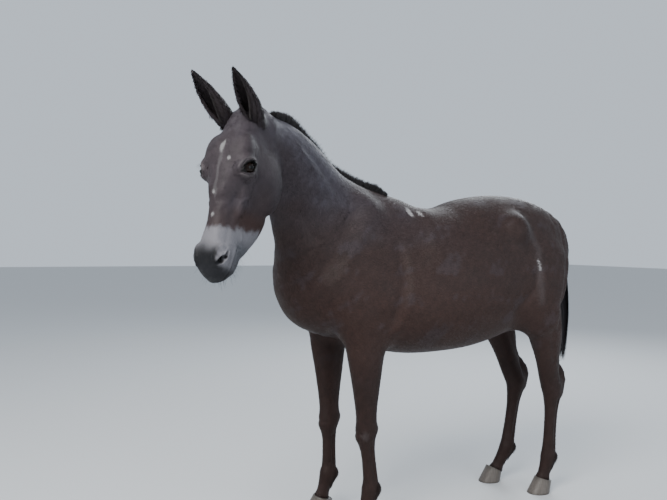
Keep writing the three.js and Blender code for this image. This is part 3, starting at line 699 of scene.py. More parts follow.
def coat_tone(p):
    """The coat's colour at drawn points, linear RGB, with painted light: painted sky sheen on the back and the
    neck crest, painted shade in the nostrils and eye corners, and a painted highlight along the near hip.
    """
    c = np.tile(CHESTNUT, (len(p), 1))

    def mix(colour, amount):
        nonlocal c
        c = c * (1 - amount[:, None]) + colour * amount[:, None]

    x, y, z = p.T
    n1, n2, n3 = waves(p, 170, 1), waves(p, 48, 2), waves(p, 17, 3)
    mix(RED, 0.7 * fade(1120 - z + 60 * n1, -60, 260))
    # Painted sky sheen: the back is tinted cool grey as if lit by the sky; the next line adds random cool
    # patches of real tone.
    mix(COOL_TONE_AND_SKY_SHEEN, 0.62 * fade(z + 45 * n1, 1120, 1390) * fade(1500 - z + 0.6 * (x - 600), -200, 150))
    mix(COOL_TONE_AND_SKY_SHEEN, 0.3 * fade(n1 + 0.5 * n2, 0.4, 1.2))
    # Neck: painted sky sheen, a lighter slate tint toward the crest where the sky lights it
    off_neck = neck_loft.distance(p)
    body = np.nonzero((off_neck < 30) & (head_distance(p) > -4))[0]
    _, v, _, _, deep, _, s = neck_loft.locate(p[body])
    high = np.zeros(len(p))
    high[body] = fade(v / deep + 0.12 * n2[body], -0.3, 0.85) * fade(s + 1.5 * n1[body], 0, 13)
    mix(CREST_SKY_SHEEN, 0.75 * (high * fade(30 - off_neck, 0, 30)))
    mix(LEG, 0.9 * fade(830 - z + 25 * n1, 0, 280))
    c = c * (1 + 0.10 * n2 + 0.05 * n3)[:, None]
    # Head: brown cheeks, pale ragged muzzle, dark nose, and painted shade inside the nostrils
    on = on_head_part(p, 14, 8)
    local = to_head(p)
    q = mirrored(local, 2)
    t, h, s = q.T
    mix(COOL_TONE_AND_SKY_SHEEN, 0.55 * on * fade(170 - t + 20 * n2, 0, 120))
    mix(RED * 1.15, 0.7 * on * fade(t, 330, 380) * fade(-h, 40, 110))
    border = 424 + 9 * n2 + 5 * n3 + 0.16 * (h + 60)
    mix(MUZZLE, on * fade(t, border - 14, border + 14))
    mix(CHIN, 0.8 * on * fade(t, 440, 480) * fade(-h, 84, 118))
    front = fade(66 - s + 3 * n3, 8, 26) * fade(h + 112, 0, 14)
    mix(NOSE, on * front * fade(t + 0.25 * (h + 60) + 4 * n2, 484, 540))
    mix(NOSE * 1.8, 0.85 * on * fade(t, 548, 574))
    # Painted shade: the nostril pits are painted near black.
    for centre, size in (((540, -38, 52), 17), ((524, -48, 59), 14)):
        mix(DARK * 0.4, on * fade(size - length((q - centre) * [1, 1.5, 1]), 0, 6))
    # Eyes: a pale ring round a dark lid rim, with painted shade where the skin dips under the ball at the
    # corners
    for side in SIDES:
        edge, depth, _, along, _ = almond(p, side)
        seen = on * fade(depth, 4, 16)
        mix(PALE, 0.6 * seen * bell(edge - 13 - 0.12 * np.abs(along), 4.5))
        # Dark lid skin, and painted shade in the recess at the corners where the skin dips under the ball.
        mix(DARK * 0.4, seen * fade(7.5 + 0.1 * np.abs(along) - edge, 0, 4))
    # Star, streak and white spots on the face
    t, h, s = local.T
    star = np.hypot((t - 158 + 4 * n3) / 22, (s + 2 + 3 * n2) / 9)
    mix(WHITE * 0.75, 0.7 * on * fade(1.3 - star, 0, 0.7) * (h > -60))
    streak = np.hypot(np.maximum(np.abs(t - 250) - 70, 0) / 20, (s - 4 * n2) / 6)
    mix(WHITE * 0.5, 0.22 * on * fade(1.4 - streak, 0, 1) * (h > -40))
    for spot_t, spot_s in ((318, -6), (392, -2), (204, 34)):
        spot = np.hypot(t - spot_t, s - spot_s)
        mix(WHITE * 0.8, 0.7 * on * fade(8.5 - spot, 0, 4) * (h > -70))
    # Saddle marks, then a painted highlight along the near hip and stifle fold, the scar on the near hip, and
    # the scuffed near knee
    for (spot_x, spot_z), (wide, high) in (((205, 1326), (12, 19)), ((152, 1320), (8, 13))):
        spot = np.hypot((x - spot_x - 0.3 * (z - spot_z)) / wide, (z - spot_z) / high)
        mix(WHITE, 0.85 * fade(1.25 - spot + 0.1 * n3, 0, 0.5) * (y > 30))
    # Painted highlight: a pale line down the near hip and stifle fold.
    hip = along_line(p[:, [0, 2]], [(-350, 1300), (-415, 1170), (-408, 1110), (-410, 930)])
    mix(PALE, 0.30 * (y > 0) * bell(hip, 20) * fade(z, 880, 960))
    scar = along_line(p[:, [0, 2]], [(-404, 1122), (-412, 1082)])
    mix(WHITE, 0.6 * (y > 0) * fade(8 - scar, 0, 5))
    scuff = length((p - JOINTS["fore_left"]["bend"] - [20, 30, -6]) * [1, 0.6, 0.8])
    mix(PALE, 0.28 * fade(24 - scuff + 6 * n3, 0, 20) * (y > 60))
    return c


def on_head_part(p, edge=10, soft=6):
    """1 on the head and 0 off it, fading over soft millimetres outside its form."""
    on = near_head(p, 430) * 1.0
    near = np.nonzero(on)[0]
    on[near] = fade(edge - head_distance(p[near]), 0, soft)
    return on


# Skin: the flesh nodes fused, laid on the field, with finer faces on the head, and pressed into shape
FLESH = ["torso", "neck", "head", "foreleg_left", "foreleg_right", "hindleg_left", "hindleg_right"]
OVERLAP = 0.0012


def fused_flesh():
    whole = bmesh.new()
    for name in FLESH:
        piece = bmesh.new()
        piece.from_mesh(nodes[name].data)
        bmesh.ops.remove_doubles(piece, verts=piece.verts, dist=1e-5)
        bmesh.ops.recalc_face_normals(piece, faces=piece.faces)
        piece.normal_update()
        for v in piece.verts:
            v.co += v.normal * OVERLAP
        mesh = bpy.data.meshes.new(name)
        piece.to_mesh(mesh)
        piece.free()
        whole.from_mesh(mesh)
        bpy.data.meshes.remove(mesh)
    mesh = bpy.data.meshes.new("flesh")
    whole.to_mesh(mesh)
    whole.free()
    obj = place("flesh", mesh)
    remesh = obj.modifiers.new("remesh", "REMESH")
    remesh.mode = "VOXEL"
    remesh.voxel_size = VOXEL
    out = bpy.data.meshes.new_from_object(obj.evaluated_get(bpy.context.evaluated_depsgraph_get()))
    bpy.data.objects.remove(obj)
    return out


def keep_largest(mesh):
    """Drops what isn't part of the largest connected surface."""
    a, b = edge_ends(mesh)
    label = np.arange(len(mesh.vertices))
    while True:
        low = np.minimum(label[a], label[b])
        new = label.copy()
        np.minimum.at(new, a, low)
        np.minimum.at(new, b, low)
        new = new[new]
        if np.array_equal(new, label):
            break
        label = new
    keep = np.argmax(np.bincount(label))
    bm = bmesh.new()
    bm.from_mesh(mesh)
    bm.verts.ensure_lookup_table()
    bmesh.ops.delete(bm, geom=[bm.verts[i] for i in np.nonzero(label != keep)[0]], context="VERTS")
    bm.to_mesh(mesh)
    bm.free()


def refine(mesh, pick):
    """Halves the edges whose two ends are picked."""
    bm = bmesh.new()
    bm.from_mesh(mesh)
    chosen = pick(to_drawn(coords(mesh)))
    edges = [e for e in bm.edges if chosen[e.verts[0].index] and chosen[e.verts[1].index]]
    bmesh.ops.subdivide_edges(bm, edges=edges, cuts=1, use_grid_fill=True)
    bm.to_mesh(mesh)
    bm.free()
    mesh.update()


# Where the face has small forms, in the head's frame, and how far round each: eye, nostril, lips
FINE_PLACES = [
    (EYE + [0, 6, 14], 40),
    ([534, -40, 52], 36),
    ([474, -110, 54], 20),
    ([500, -104, 54], 22),
    ([526, -100, 50], 24),
    ([560, -96, 30], 28),
    ([575, -94, 6], 26),
]


def near_features(p, spread):
    q = mirrored(to_head(p), 2)
    return np.any([length(q - centre) < reach * spread for centre, reach in FINE_PLACES], axis=0)


def even_out(mesh, rounds, where=1):
    """Smooths small ripples and keeps the form's size."""
    a, b = edge_ends(mesh)
    p = coords(mesh)
    count = np.bincount(np.concatenate([a, b]), minlength=len(p))[:, None]
    for k in range(rounds * 2):
        sums = [np.bincount(a, p[b, i], len(p)) + np.bincount(b, p[a, i], len(p)) for i in range(3)]
        p = p + (0.5 if k % 2 == 0 else -0.52) * (np.stack(sums, axis=1) / count - p) * where
    set_coords(mesh, p)


skin_mesh = fused_flesh()
keep_largest(skin_mesh)
settled = settle(to_drawn(coords(skin_mesh)), lambda p: body_distance(p) + COAT_DEPTH)
set_coords(skin_mesh, to_row(settled))
trunk_only = to_drawn(coords(skin_mesh))
trunk_only = fade(trunk_only[:, 2], 660, 800) * fade(1050 - trunk_only[:, 0], 0, 300)
even_out(skin_mesh, 16)
even_out(skin_mesh, TRUNK_ROUNDS, trunk_only[:, None])
refine(skin_mesh, lambda p: near_head(p, 360))
even_out(skin_mesh, 5)
refine(skin_mesh, lambda p: near_features(p, 1.15))
refine(skin_mesh, lambda p: near_features(p, 0.95))
even_out(skin_mesh, 3)
points, way = to_drawn(coords(skin_mesh)), coords(skin_mesh, "normal")
set_coords(skin_mesh, np.clip(to_row(points + way * lift_of(points)[:, None]), *size_at_load))
smooth(skin_mesh)

# Ears: a long curled blade with a rounded edge. Share of the length, half width, depth, curl, thickness
EAR = [
    [0, 26, 25, 158, 6],
    [0.12, 32, 30, 150, 5.5],
    [0.26, 40, 33, 132, 5],
    [0.42, 44, 31, 117, 4.5],
    [0.58, 41, 25, 106, 4],
    [0.74, 32, 17, 98, 3.5],
    [0.88, 19, 9, 92, 3],
    [1, 4, 3, 88, 2],
]
# How each ear stands: lean outward and pitch forward per 152 upward, turn, bow, length, fullness, foot
EARS = {1: (29, 161, 0.02, -4, 221, 0.92, 54), -1: (36, 152, 0.14, 10, 230, 0.96, 60)}
COLUMNS = 49


def ear_sheets(side):
    """The outer and inner sheet, row by row, the way the ear rises and the way it opens."""
    lean, pitch, turned, bow, long, full, foot = EARS[side]
    base = on_head(38, -90, foot * side)
    left = HEAD_AXES[2]
    rise = unit(UP * 152 + AHEAD * pitch + left * lean * side)
    facing = AHEAD + left * turned * side
    opening = unit(facing - rise * (facing @ rise))
    wide = np.cross(rise, opening)
    sheets = {0.12: [], 0.88: []}
    for u, half, d, curl, thick in smooth_rows(EAR, 10):
        middle = base + rise * (long * u - 26 * (1 - u)) + opening * (16 * u * u - 6 * u)
        middle = middle + left * side * (bow * math.sin(math.pi * u) - 6 * u * u)
        turn = np.radians(curl) * (2 * np.arange(COLUMNS) / (COLUMNS - 1) - 1)
        ripple = 1 + 0.012 * np.sin(turn * 9 + 14 * u) * min(u * 4, 1)
        for shrink, rows in sheets.items():
            edge = 1 - (0.5 - shrink) * 0.9 * fade(np.abs(turn) / np.radians(curl), 0.93, 1)
            a = (half * full - thick * shrink) * np.sin(turn * edge) * ripple
            b = -(d - thick * shrink) * np.cos(turn * edge) * ripple
            rows.append(middle + np.outer(a, wide) + np.outer(b, opening))
    return np.array(sheets[0.12]), np.array(sheets[0.88]), rise, opening


def ear_mesh(outer, inner):
    rings = np.concatenate([outer, inner[:, ::-1]], axis=1)
    rows, count = rings.shape[:2]
    faces = ring_faces(rows, count, (0, 3, 2, 1))
    last = (rows - 1) * count
    for j in range(COLUMNS - 1):
        a, b, c, d = j, j + 1, count - 2 - j, count - 1 - j
        faces += [(c, d, a, b), (last + d, last + c, last + b, last + a)]
    return mesh_of("ear", to_row(rings.reshape(-1, 3)), faces)


def ear_tone(p, inside):
    low = 0.45 * (1 - np.clip((p[:, 2] - 1640) / 120, 0, 1))[:, None]
    cup = 0.15 * inside[:, None]
    c = DARK * 1.5 * (1 - low) + CHESTNUT * low
    c = c * (1 - cup) + np.array([0.05, 0.042, 0.042]) * cup
    return c * (1 + 0.12 * waves(p, 26, 9))[:, None]


coat = surface("coat", 0.56, 0.2, 0.05, bump=[(60, 0.0035, (1, 1, 1)), (520, 0.0009, (0.5, 1, 1))])
hair = surface("coat_hair", 0.52, 0.2, 0.04)
dark_hair = surface("mane_and_tail_hair", 0.5, 0.25, 0.03)
paint(skin_mesh, coat_tone(to_drawn(coords(skin_mesh))))
skin = show("skin", skin_mesh, coat, FLESH + ["ear_left", "ear_right"])
ears, ear_forms = [], {}
for side, name in SIDES.items():
    outer, inner, rise, opening = ear_sheets(side)
    mesh = ear_mesh(outer, inner)
    p = to_drawn(coords(mesh))
    inside = (np.arange(len(p)) % (2 * COLUMNS)) >= COLUMNS
    paint(mesh, ear_tone(p, inside * 1.0))
    ear_forms[side] = (mesh.copy(), rise, opening, outer, inner)
    mesh.materials.append(coat)
    ears.append(place("ear_skin_" + name, mesh))
with bpy.context.temp_override(active_object=skin, selected_editable_objects=[skin, *ears]):
    bpy.ops.object.join()

# An unwrap of the skin's own shape: each part has a rectangle, round it one way and along it the other
RECTANGLES = {
    "trunk": (0.0, 0.0, 0.56, 0.5),
    "neck": (0.57, 0.0, 0.42, 0.24),
    "head": (0.57, 0.25, 0.42, 0.25),
    "fore_left": (0.0, 0.51, 0.19, 0.47),
    "fore_right": (0.2, 0.51, 0.19, 0.47),
    "hind_left": (0.4, 0.51, 0.19, 0.47),
    "hind_right": (0.6, 0.51, 0.19, 0.47),
    1: (0.8, 0.51, 0.19, 0.15),
    -1: (0.8, 0.67, 0.19, 0.15),
    "tail": (0.8, 0.83, 0.19, 0.16),
}


def in_rectangle(key, across, along):
    x, y, w, h = RECTANGLES[key]
    return np.stack([x + w * (0.02 + 0.96 * across), y + h * (0.02 + 0.96 * along)], axis=1)


def unwrap(p):
    parts = {"trunk": trunk_loft, "neck": neck_loft, "head": head_loft, **{k: v[0] for k, v in LEGS.items()}}
    local = to_head(p)
    which = np.argmin([loft.distance(local if k == "head" else p) for k, loft in parts.items()], axis=0)
    uv = np.zeros((len(p), 2))
    for i, (key, loft) in enumerate(parts.items()):
        own = np.nonzero(which == i)[0]
        if len(own):
            u, v, _, wide, deep, _, s = loft.locate((local if key == "head" else p)[own])
            turn = np.arctan2(v / deep, u / wide) / (2 * math.pi) + 0.5
            uv[own] = in_rectangle(key, turn, s / (len(loft.rows) - 1))
    return uv


# Hair: flat strips that taper to a point, in pieces below the limit on triangles
PIECE_TRIANGLES = 190000
ROOT_SHADE = 0.9
PATCH = 0.003


def ribbons(name, paths, sides, widths, tones, places, material, tip=1.12):
    """paths is (hairs, points, 3) in drawn millimetres, places their roots on the unwrap; each hair is painted
    from ROOT_SHADE at the root, as painted shade, to tip at its end, as painted sheen.
    """
    count, k = paths.shape[:2]
    t = np.linspace(0, 1, k)
    tones = np.broadcast_to(tones, (count, 3))
    half = np.broadcast_to(widths, count)[:, None] * (1 - t[None, :-1]) ** 0.55 / 2
    left = paths[:, :-1] - sides[:, None] * half[..., None]
    right = paths[:, :-1] + sides[:, None] * half[..., None]
    body = np.stack([left, right], axis=2).reshape(count, 2 * (k - 1), 3)
    points = np.concatenate([body, paths[:, -1:]], axis=1)
    steps = range(0, 2 * k - 4, 2)
    strip = [face for a in steps for face in ((a, a + 1, a + 3), (a, a + 3, a + 2))]
    strip = np.array([*strip, (2 * k - 4, 2 * k - 3, 2 * k - 2)])
    # Painted light along each hair: darker at the root as painted shade, lighter at the tip as painted sheen.
    root_shade_tip_sheen = np.concatenate([np.repeat(ROOT_SHADE + (tip - ROOT_SHADE) * t[:-1], 2), [tip]])
    column = rng.integers(0, 3, count) / 3
    across = np.tile([0.03, 0.3], k - 1).tolist() + [0.16]
    along = np.repeat(t[:-1], 2).tolist() + [1.0]
    spread = PATCH * (np.stack([across, along], axis=1)[None] - [0.16, 0.5])
    limit = max(PIECE_TRIANGLES // len(strip), 1)
    for part, start in enumerate(range(0, count, limit)):
        own = slice(start, min(start + limit, count))
        n = own.stop - own.start
        triangles = (np.arange(n)[:, None, None] * (2 * k - 1) + strip).reshape(-1, 3)
        inside = np.clip(to_row(points[own].reshape(-1, 3)), *size_at_load)
        mesh = mesh_of_triangles(name, inside, triangles)
        paint(mesh, (tones[own, None] * root_shade_tip_sheen[None, :, None]).reshape(-1, 3))
        shift = PATCH * np.stack([column[own] - 0.33, np.zeros(n)], axis=1)
        uv = places[own, None] + spread + shift[:, None]
        layer = mesh.uv_layers.new(name="OFBake")
        layer.data.foreach_set("uv", uv.reshape(-1, 2)[triangles.ravel()].astype(np.float32).ravel())
        show(f"{name}_{part}", mesh, material)


def samples(mesh, count, weight):
    """Random points on a mesh, with their smooth normals, where weight says."""
    mesh.calc_loop_triangles()
    tri = np.zeros(len(mesh.loop_triangles) * 3, np.int32)
    mesh.loop_triangles.foreach_get("vertices", tri)
    tri = tri.reshape(-1, 3)
    p, n = to_drawn(coords(mesh)), coords(mesh, "normal")
    a, b, c = p[tri[:, 0]], p[tri[:, 1]], p[tri[:, 2]]
    area = length(np.cross(b - a, c - a)) * weight((a + b + c) / 3, unit(n[tri].sum(1)))
    total = np.cumsum(area)
    picks = np.searchsorted(total, (np.arange(count) + rng.random(count)) / count * total[-1])
    picks = np.minimum(picks, len(tri) - 1)
    r1, r2 = np.sqrt(rng.random(count)), rng.random(count)
    w = np.stack([1 - r1, r1 * (1 - r2), r1 * r2], axis=1)[..., None]
    return (p[tri[picks]] * w).sum(1), unit((n[tri[picks]] * w).sum(1))


def flow(p):
    """Which way the coat lies."""
    way = np.array([-1.0, 0.0, -0.42])
    neck = fade(trunk_loft.distance(p) - neck_loft.distance(p), -30, 60)[:, None]
    _, along, _, up = neck_loft.frame_at(neck_loft.nearest(p))
    way = way * (1 - neck) + (-along * 0.7 - up * 0.6) * neck
    down = (1 - fade(p[:, 2], 620, 880))[:, None]
    way = way * (1 - down) + np.array([-0.12, 0, -1.0]) * down
    head = (near_head(p, 420) * fade(24 - head_distance(p), 0, 14))[:, None]
    face = HEAD_AXES[0] - HEAD_AXES[1] * 0.35 * fade(-to_head(p)[:, 1], 40, 160)[:, None]
    return unit(way * (1 - head) + face * head)


def strokes(foot, along, over, shares, root=None):
    """Hair paths: points at shares of two ways from the foot, after a root if there is one."""
    path = [foot + along * a + over * b for a, b in shares]
    return np.stack(path if root is None else [root, *path], axis=1)


def tufts(name, roots, normals, lengths, widths, tones, ways=None, lift=1.0, blades=3):
    """Short flat tufts of a few blades each, lying along the body."""
    way = flow(roots) if ways is None else ways
    way = unit(way - normals * dots(way, normals)[:, None])
    side = np.cross(normals, way)
    turn = 0.22 * waves(roots, 90, 21)
    count = len(roots)
    out = []
    for blade in range(blades):
        angle = turn + (blade - (blades - 1) / 2) * 0.3 + rng.normal(0, 0.16, count)
        v = way * np.cos(angle)[:, None] + side * np.sin(angle)[:, None]
        long = (lengths * rng.uniform(0.75, 1.15, count))[:, None]
        foot = roots + side * (rng.normal(0, 0.8, count) * widths)[:, None] - normals * 0.5
        up = normals * (lift * rng.uniform(0.6, 1.3, count))[:, None]
        path = strokes(foot, v * long, up, ((0, 0), (0.5, 1.4), (1, 1.5)))
        wide = widths * rng.uniform(0.8, 1.2, count)
        out.append((path, np.cross(normals, v), wide, tones * rng.uniform(0.8, 1.22, count)[:, None]))
    whole = [np.stack(part, axis=1) for part in zip(*out)]
    path, across, wide, tone = [part.reshape(-1, *part.shape[2:]) for part in whole]
    ribbons(name, path, across, wide, tone, np.repeat(unwrap(roots), blades, axis=0), hair)


def off_openings(p):
    """Zero on the eye openings, inside the nostrils and between the lips."""
    out = np.ones(len(p))
    near = np.nonzero(near_head(p, 430))[0]
    q = mirrored(to_head(p[near]), 2)
    keep = np.ones(len(near))
    for side in SIDES:
        edge, z, *_ = almond(p[near], side)
        keep *= 1 - fade(3.6 - edge, 0, 1.5) * (z > 0)
    for centre, _, size in NOSTRIL:
        keep *= fade(length((q - centre) * [1, 1.5, 1]), size, size + 4)
    line = np.interp(q[:, 0], *zip(*MOUTH))
    keep *= 1 - (np.abs(q[:, 1] - line) < 3) * (q[:, 0] > 474)
    out[near] = keep
    return out


def above_hooves(p):
    return np.all([(p - coronet(k)[0]) @ coronet(k)[1] < 2 for k in JOINTS] | (p[:, 2] > 130), axis=0)


def body_weight(p, n):
    return (1 - on_head_part(p)) * fade(p[:, 2], 700, 860)


def leg_weight(p, n):
    low = (1 - fade(p[:, 2], 700, 860)) * (1 - on_head_part(p))
    return low * above_hooves(p) * (1 + 0.8 * (p[:, 2] < 260))


def head_weight(p, n):
    return on_head_part(p) * off_openings(p) * (1 + 0.8 * fade(to_head(p)[:, 0], 380, 460))


def whisker_weight(p, n):
    t, h, _ = to_head(p).T
    return on_head_part(p) * fade(t, 450, 540) * fade(-h, 20, 120) * off_openings(p)


def fetlock_weight(fetlock):
    return lambda p, n: (length(p - fetlock + [18, 0, 14]) < 42) * fade(-n[:, 0], 0.1, 0.7)


def coronet_weight(point, down):
    def weight(p, n):
        x, y, z = (p - point).T
        return (np.abs((p - point) @ down + 5) < 6) * (np.abs(y) < 60) * (p[:, 2] < 140) * (np.abs(x) < 90)

    return weight


p, n = samples(skin_mesh, BODY_TUFTS, body_weight)
longer = 1 + 0.25 * fade(-n[:, 2], 0.3, 0.9)
tufts("coat_body", p, n, 13 * longer, 2.3, coat_tone(p))
p, n = samples(skin_mesh, LEG_TUFTS, leg_weight)
tufts("coat_legs", p, n, 9.5, 1.7, coat_tone(p), lift=0.8)
p, n = samples(skin_mesh, HEAD_TUFTS, head_weight)
local = to_head(p)
muzzle = fade(local[:, 0], 400, 480)
from_eyes = np.min([length(local - EYE * [1, 1, side]) for side in SIDES], axis=0)
short = 1 - 0.45 * muzzle - 0.35 * fade(64 - from_eyes, 0, 20)
tufts("coat_head", p, n, 7.5 * short, 1.35 * np.maximum(short, 0.6), coat_tone(p), lift=0.55)

# Longer hair on the backs of the fetlocks and over the coronets
for name, joints in JOINTS.items():
    p, n = samples(skin_mesh, 900, fetlock_weight(joints["fetlock"]))
    long, ways = rng.uniform(14, 30, len(p)), np.array([-0.25, 0.0, -1.0])
    tufts(f"fetlock_{name}", p, n, long, 1.6, coat_tone(p) * 0.8, ways=ways, lift=3.0, blades=2)
    point, down = coronet(name)
    p, n = samples(skin_mesh, 800, coronet_weight(point, down))
    long, ways = rng.uniform(9, 15, len(p)), unit(down + n * 0.6)
    tufts(f"coronet_{name}", p, n, long, 1.5, coat_tone(p) * 0.9, ways=ways, lift=2.0, blades=2)

# Ears: short coat outside, longer pale hair in the cup and along the rim
for side, (mesh, rise, opening, outer, inner) in ear_forms.items():
    p, n = samples(mesh, EAR_HAIRS, lambda p, n: np.ones(len(p)))
    inward = (n @ opening > 0.15) * 1.0
    s = np.clip((p - outer[0].mean(0)) @ rise / 225, 0, 1)
    turn = np.arctan2((p - outer.mean(axis=(0, 1))) @ np.cross(rise, opening), 40) / math.pi + 0.5
    long = rng.uniform(6, 9, len(p)) + inward * rng.uniform(2, 12, len(p)) * (1 - s)
    way = unit(rise + opening * 0.25 * inward[:, None] + rng.normal(0, 0.12, (len(p), 3)))
    way = unit(way - n * (dots(way, n) * (1 - 0.4 * inward))[:, None])
    path = strokes(p - n * 0.4, way * long[:, None], n, ((0, 0), (0.5, 1.2), (1, 1.4)))
    tone = ear_tone(p, inward) * (1 + 0.35 * inward)[:, None] * rng.uniform(0.8, 1.25, len(p))[:, None]
    places = in_rectangle(side, turn, s)
    ribbons(f"ear_hair_{SIDES[side]}", path, unit(np.cross(n, way)), 1.5, tone, places, hair)
    for edge, inwards, letter in ((0, 1, "a"), (COLUMNS - 1, -1, "b")):
        i = rng.random(RIM_HAIRS) * (len(outer) - 2)
        k = i.astype(int)
        f = (i - k)[:, None]
        rims = (outer[:, edge] + inner[:, edge]) / 2
        rim = rims[k] * (1 - f) + rims[k + 1] * f
        out = unit(rim - (outer[k, COLUMNS // 2] * (1 - f) + outer[k + 1, COLUMNS // 2] * f))
        way = rise * 0.9 + opening * 0.35 + inwards * np.cross(rise, opening) * 0.35 + out * 0.1
        way = unit(way + rng.normal(0, 0.2, (RIM_HAIRS, 3)))
        long = (rng.uniform(6, 15, RIM_HAIRS) * (1 - 0.5 * (i / len(outer))))[:, None]
        path = strokes(rim, way * long, rise, ((0.5, 0), (1, 1.5)), rim - way)
        tone = DARK * 1.7 * rng.uniform(0.7, 1.6, RIM_HAIRS)[:, None]
        places = in_rectangle(side, np.full(RIM_HAIRS, edge / (COLUMNS - 1)), i / len(outer))
        label = f"ear_rim_{SIDES[side]}_{letter}"
        ribbons(label, path, unit(np.cross(way, out)), 1.2, tone, places, hair)

# Clipped mane: upright bristles in a band along the crest, found by rays from above
CREST_ROWS = 90
tree = BVHTree.FromObject(skin, bpy.context.evaluated_depsgraph_get())
row, along, _, _ = neck_loft.frame_at(np.linspace(2.2, 19.2, CREST_ROWS))
up = unit(UP - along * along[:, 2:])
wide = np.cross(up, along)
up = unit(up + [0, 0.16, 0])
crest = []
for c, u in zip(row[:, :3], up):
    hit = tree.ray_cast(Vector(to_row(c + u * 420)), Vector(-u))
    crest.append(to_drawn(np.array(hit[0])) if hit[0] else c)
crest = np.array(crest)
i = rng.random(MANE_HAIRS) * (CREST_ROWS - 2)
k = i.astype(int)
f = (i - k)[:, None]
base = crest[k] * (1 - f) + crest[k + 1] * f
across = wide[k] * np.clip(rng.normal(0, 8.5, MANE_HAIRS), -17, 17)[:, None]
foot = to_drawn(np.array([tree.find_nearest(Vector(q))[0] for q in to_row(base + across)]))
height = np.where(i < 6, 12 + 3.5 * i, 34) * (1 - 0.35 * fade(i, 76, 90))
height = height * (1 + 0.1 * np.sin(i * 2.1) + 0.06 * np.sin(i * 5.3)) * rng.uniform(0.72, 1.1, MANE_HAIRS)
lean = unit(up[k] + along[k] * 0.2 + [0, 0.1, 0.35] + across * 0.02 + rng.normal(0, 0.11, (MANE_HAIRS, 3)))
steps = np.array([-2 / 28, 0.4, 0.75, 1])[None, :, None] * height[:, None, None]
path = foot[:, None] + lean[:, None] * steps
# Painted light: bristles at the band's sides are painted half as light as those along its top, as painted
# shade beside the sky-lit top.
shaded_side_hair = np.abs(across @ np.ones(3)) > 9
tone = DARK * 1.35 * (1 - 0.5 * shaded_side_hair)[:, None] + 0.012 * rng.random((MANE_HAIRS, 1))
side = unit(along[k] + rng.normal(0, 0.5, (MANE_HAIRS, 3)))
# tip=1.5 paints the bristle tips much lighter, as painted sky sheen.
ribbons("mane", path, side, 1.7, tone, unwrap(foot), dark_hair, tip=1.5)

# Tail: the dock's core and long hair from all round it
CORE_RINGS, CORE_SIDES, CORE_SHARE = 60, 28, 0.72
TAIL_POINTS = 9


def round_tail(s, turn, share):
    """Points round the tail at rows s and angles turn, at a share of its half width and depth."""
    row, _, across, deep = tail_loft.frame_at(s)
    wide = across * (np.cos(turn) * row[:, 3])[:, None]
    return row[:, :3] + (wide + deep * (np.sin(turn) * row[:, 4])[:, None]) * share


rings = np.repeat(np.linspace(0, 10.5, CORE_RINGS), CORE_SIDES)
turn = np.tile(np.linspace(0, 2 * math.pi, CORE_SIDES, endpoint=False), CORE_RINGS)
tip = list(range((CORE_RINGS - 1) * CORE_SIDES, CORE_RINGS * CORE_SIDES))
faces = ring_faces(CORE_RINGS, CORE_SIDES) + [tip]
tail_mesh = mesh_of("tail_core", to_row(round_tail(rings, turn, CORE_SHARE)), faces)
paint(tail_mesh, np.tile(DARK * 0.9, (len(tail_mesh.vertices), 1)))
show("tail_core", tail_mesh, dark_hair, ["tail"])
start = 1.2 + 8.5 * rng.random(TAIL_HAIRS) ** 1.2
turn = rng.random(TAIL_HAIRS) * 2 * math.pi
reach = rng.uniform(0.6, 0.96, TAIL_HAIRS)
end = np.minimum(start + rng.uniform(3.0, 8.5, TAIL_HAIRS), rng.uniform(11.0, 13.9, TAIL_HAIRS))
path = np.zeros((TAIL_HAIRS, TAIL_POINTS, 3))
for j, t in enumerate(np.linspace(0, 1, TAIL_POINTS)):
    swirl = turn + 0.25 * t * np.sin(turn * 3 + start)
    share = (reach + 0.08 * t)[:, None] * (0.75 + 0.25 * min(j / 2, 1))
    path[:, j] = round_tail(start + (end - start) * t, swirl, share)
path[:, 1:] += np.cumsum(rng.normal(0, 0.9, (TAIL_HAIRS, TAIL_POINTS - 1, 3)), axis=1) * [1, 1, 0.2]
side = unit(np.stack([-np.sin(turn), np.cos(turn), 0 * turn], axis=1))
tone = DARK * 1.5 * rng.uniform(0.55, 1.9, TAIL_HAIRS)[:, None]
places = in_rectangle("tail", turn / (2 * math.pi), start / 14)
ribbons("tail_hair", path, side, 2.6, tone, places, dark_hair, tip=1.2)


# Eyes: a brown iris with a wide dark pupil under a wet cornea, and lashes on the upper lid
def eye_tone(way, out):
    level = unit(np.cross(UP, out))
    x, y = way @ level * EYE_RADIUS, way @ np.cross(out, level) * EYE_RADIUS
    disc, front = np.hypot(x, y), (way @ out > 0)[:, None]
    iris = fade(20.5 - disc, 0, 1.5)[:, None] * front
    streaks = 1 + 0.3 * np.sin(np.arctan2(y, x) * 46 + 2 * np.sin(disc)) * fade(disc, 7, 12)
    tone = np.array([0.014, 0.010, 0.009]) * (1 - iris)
    tone = tone + np.array([0.010, 0.0048, 0.003]) * streaks[:, None] * iris
    pupil = fade(1.12 - np.hypot(x / 11, y / 5.5), 0, 0.2)[:, None] * front
    return tone * (1 - pupil) + 0.0015 * pupil


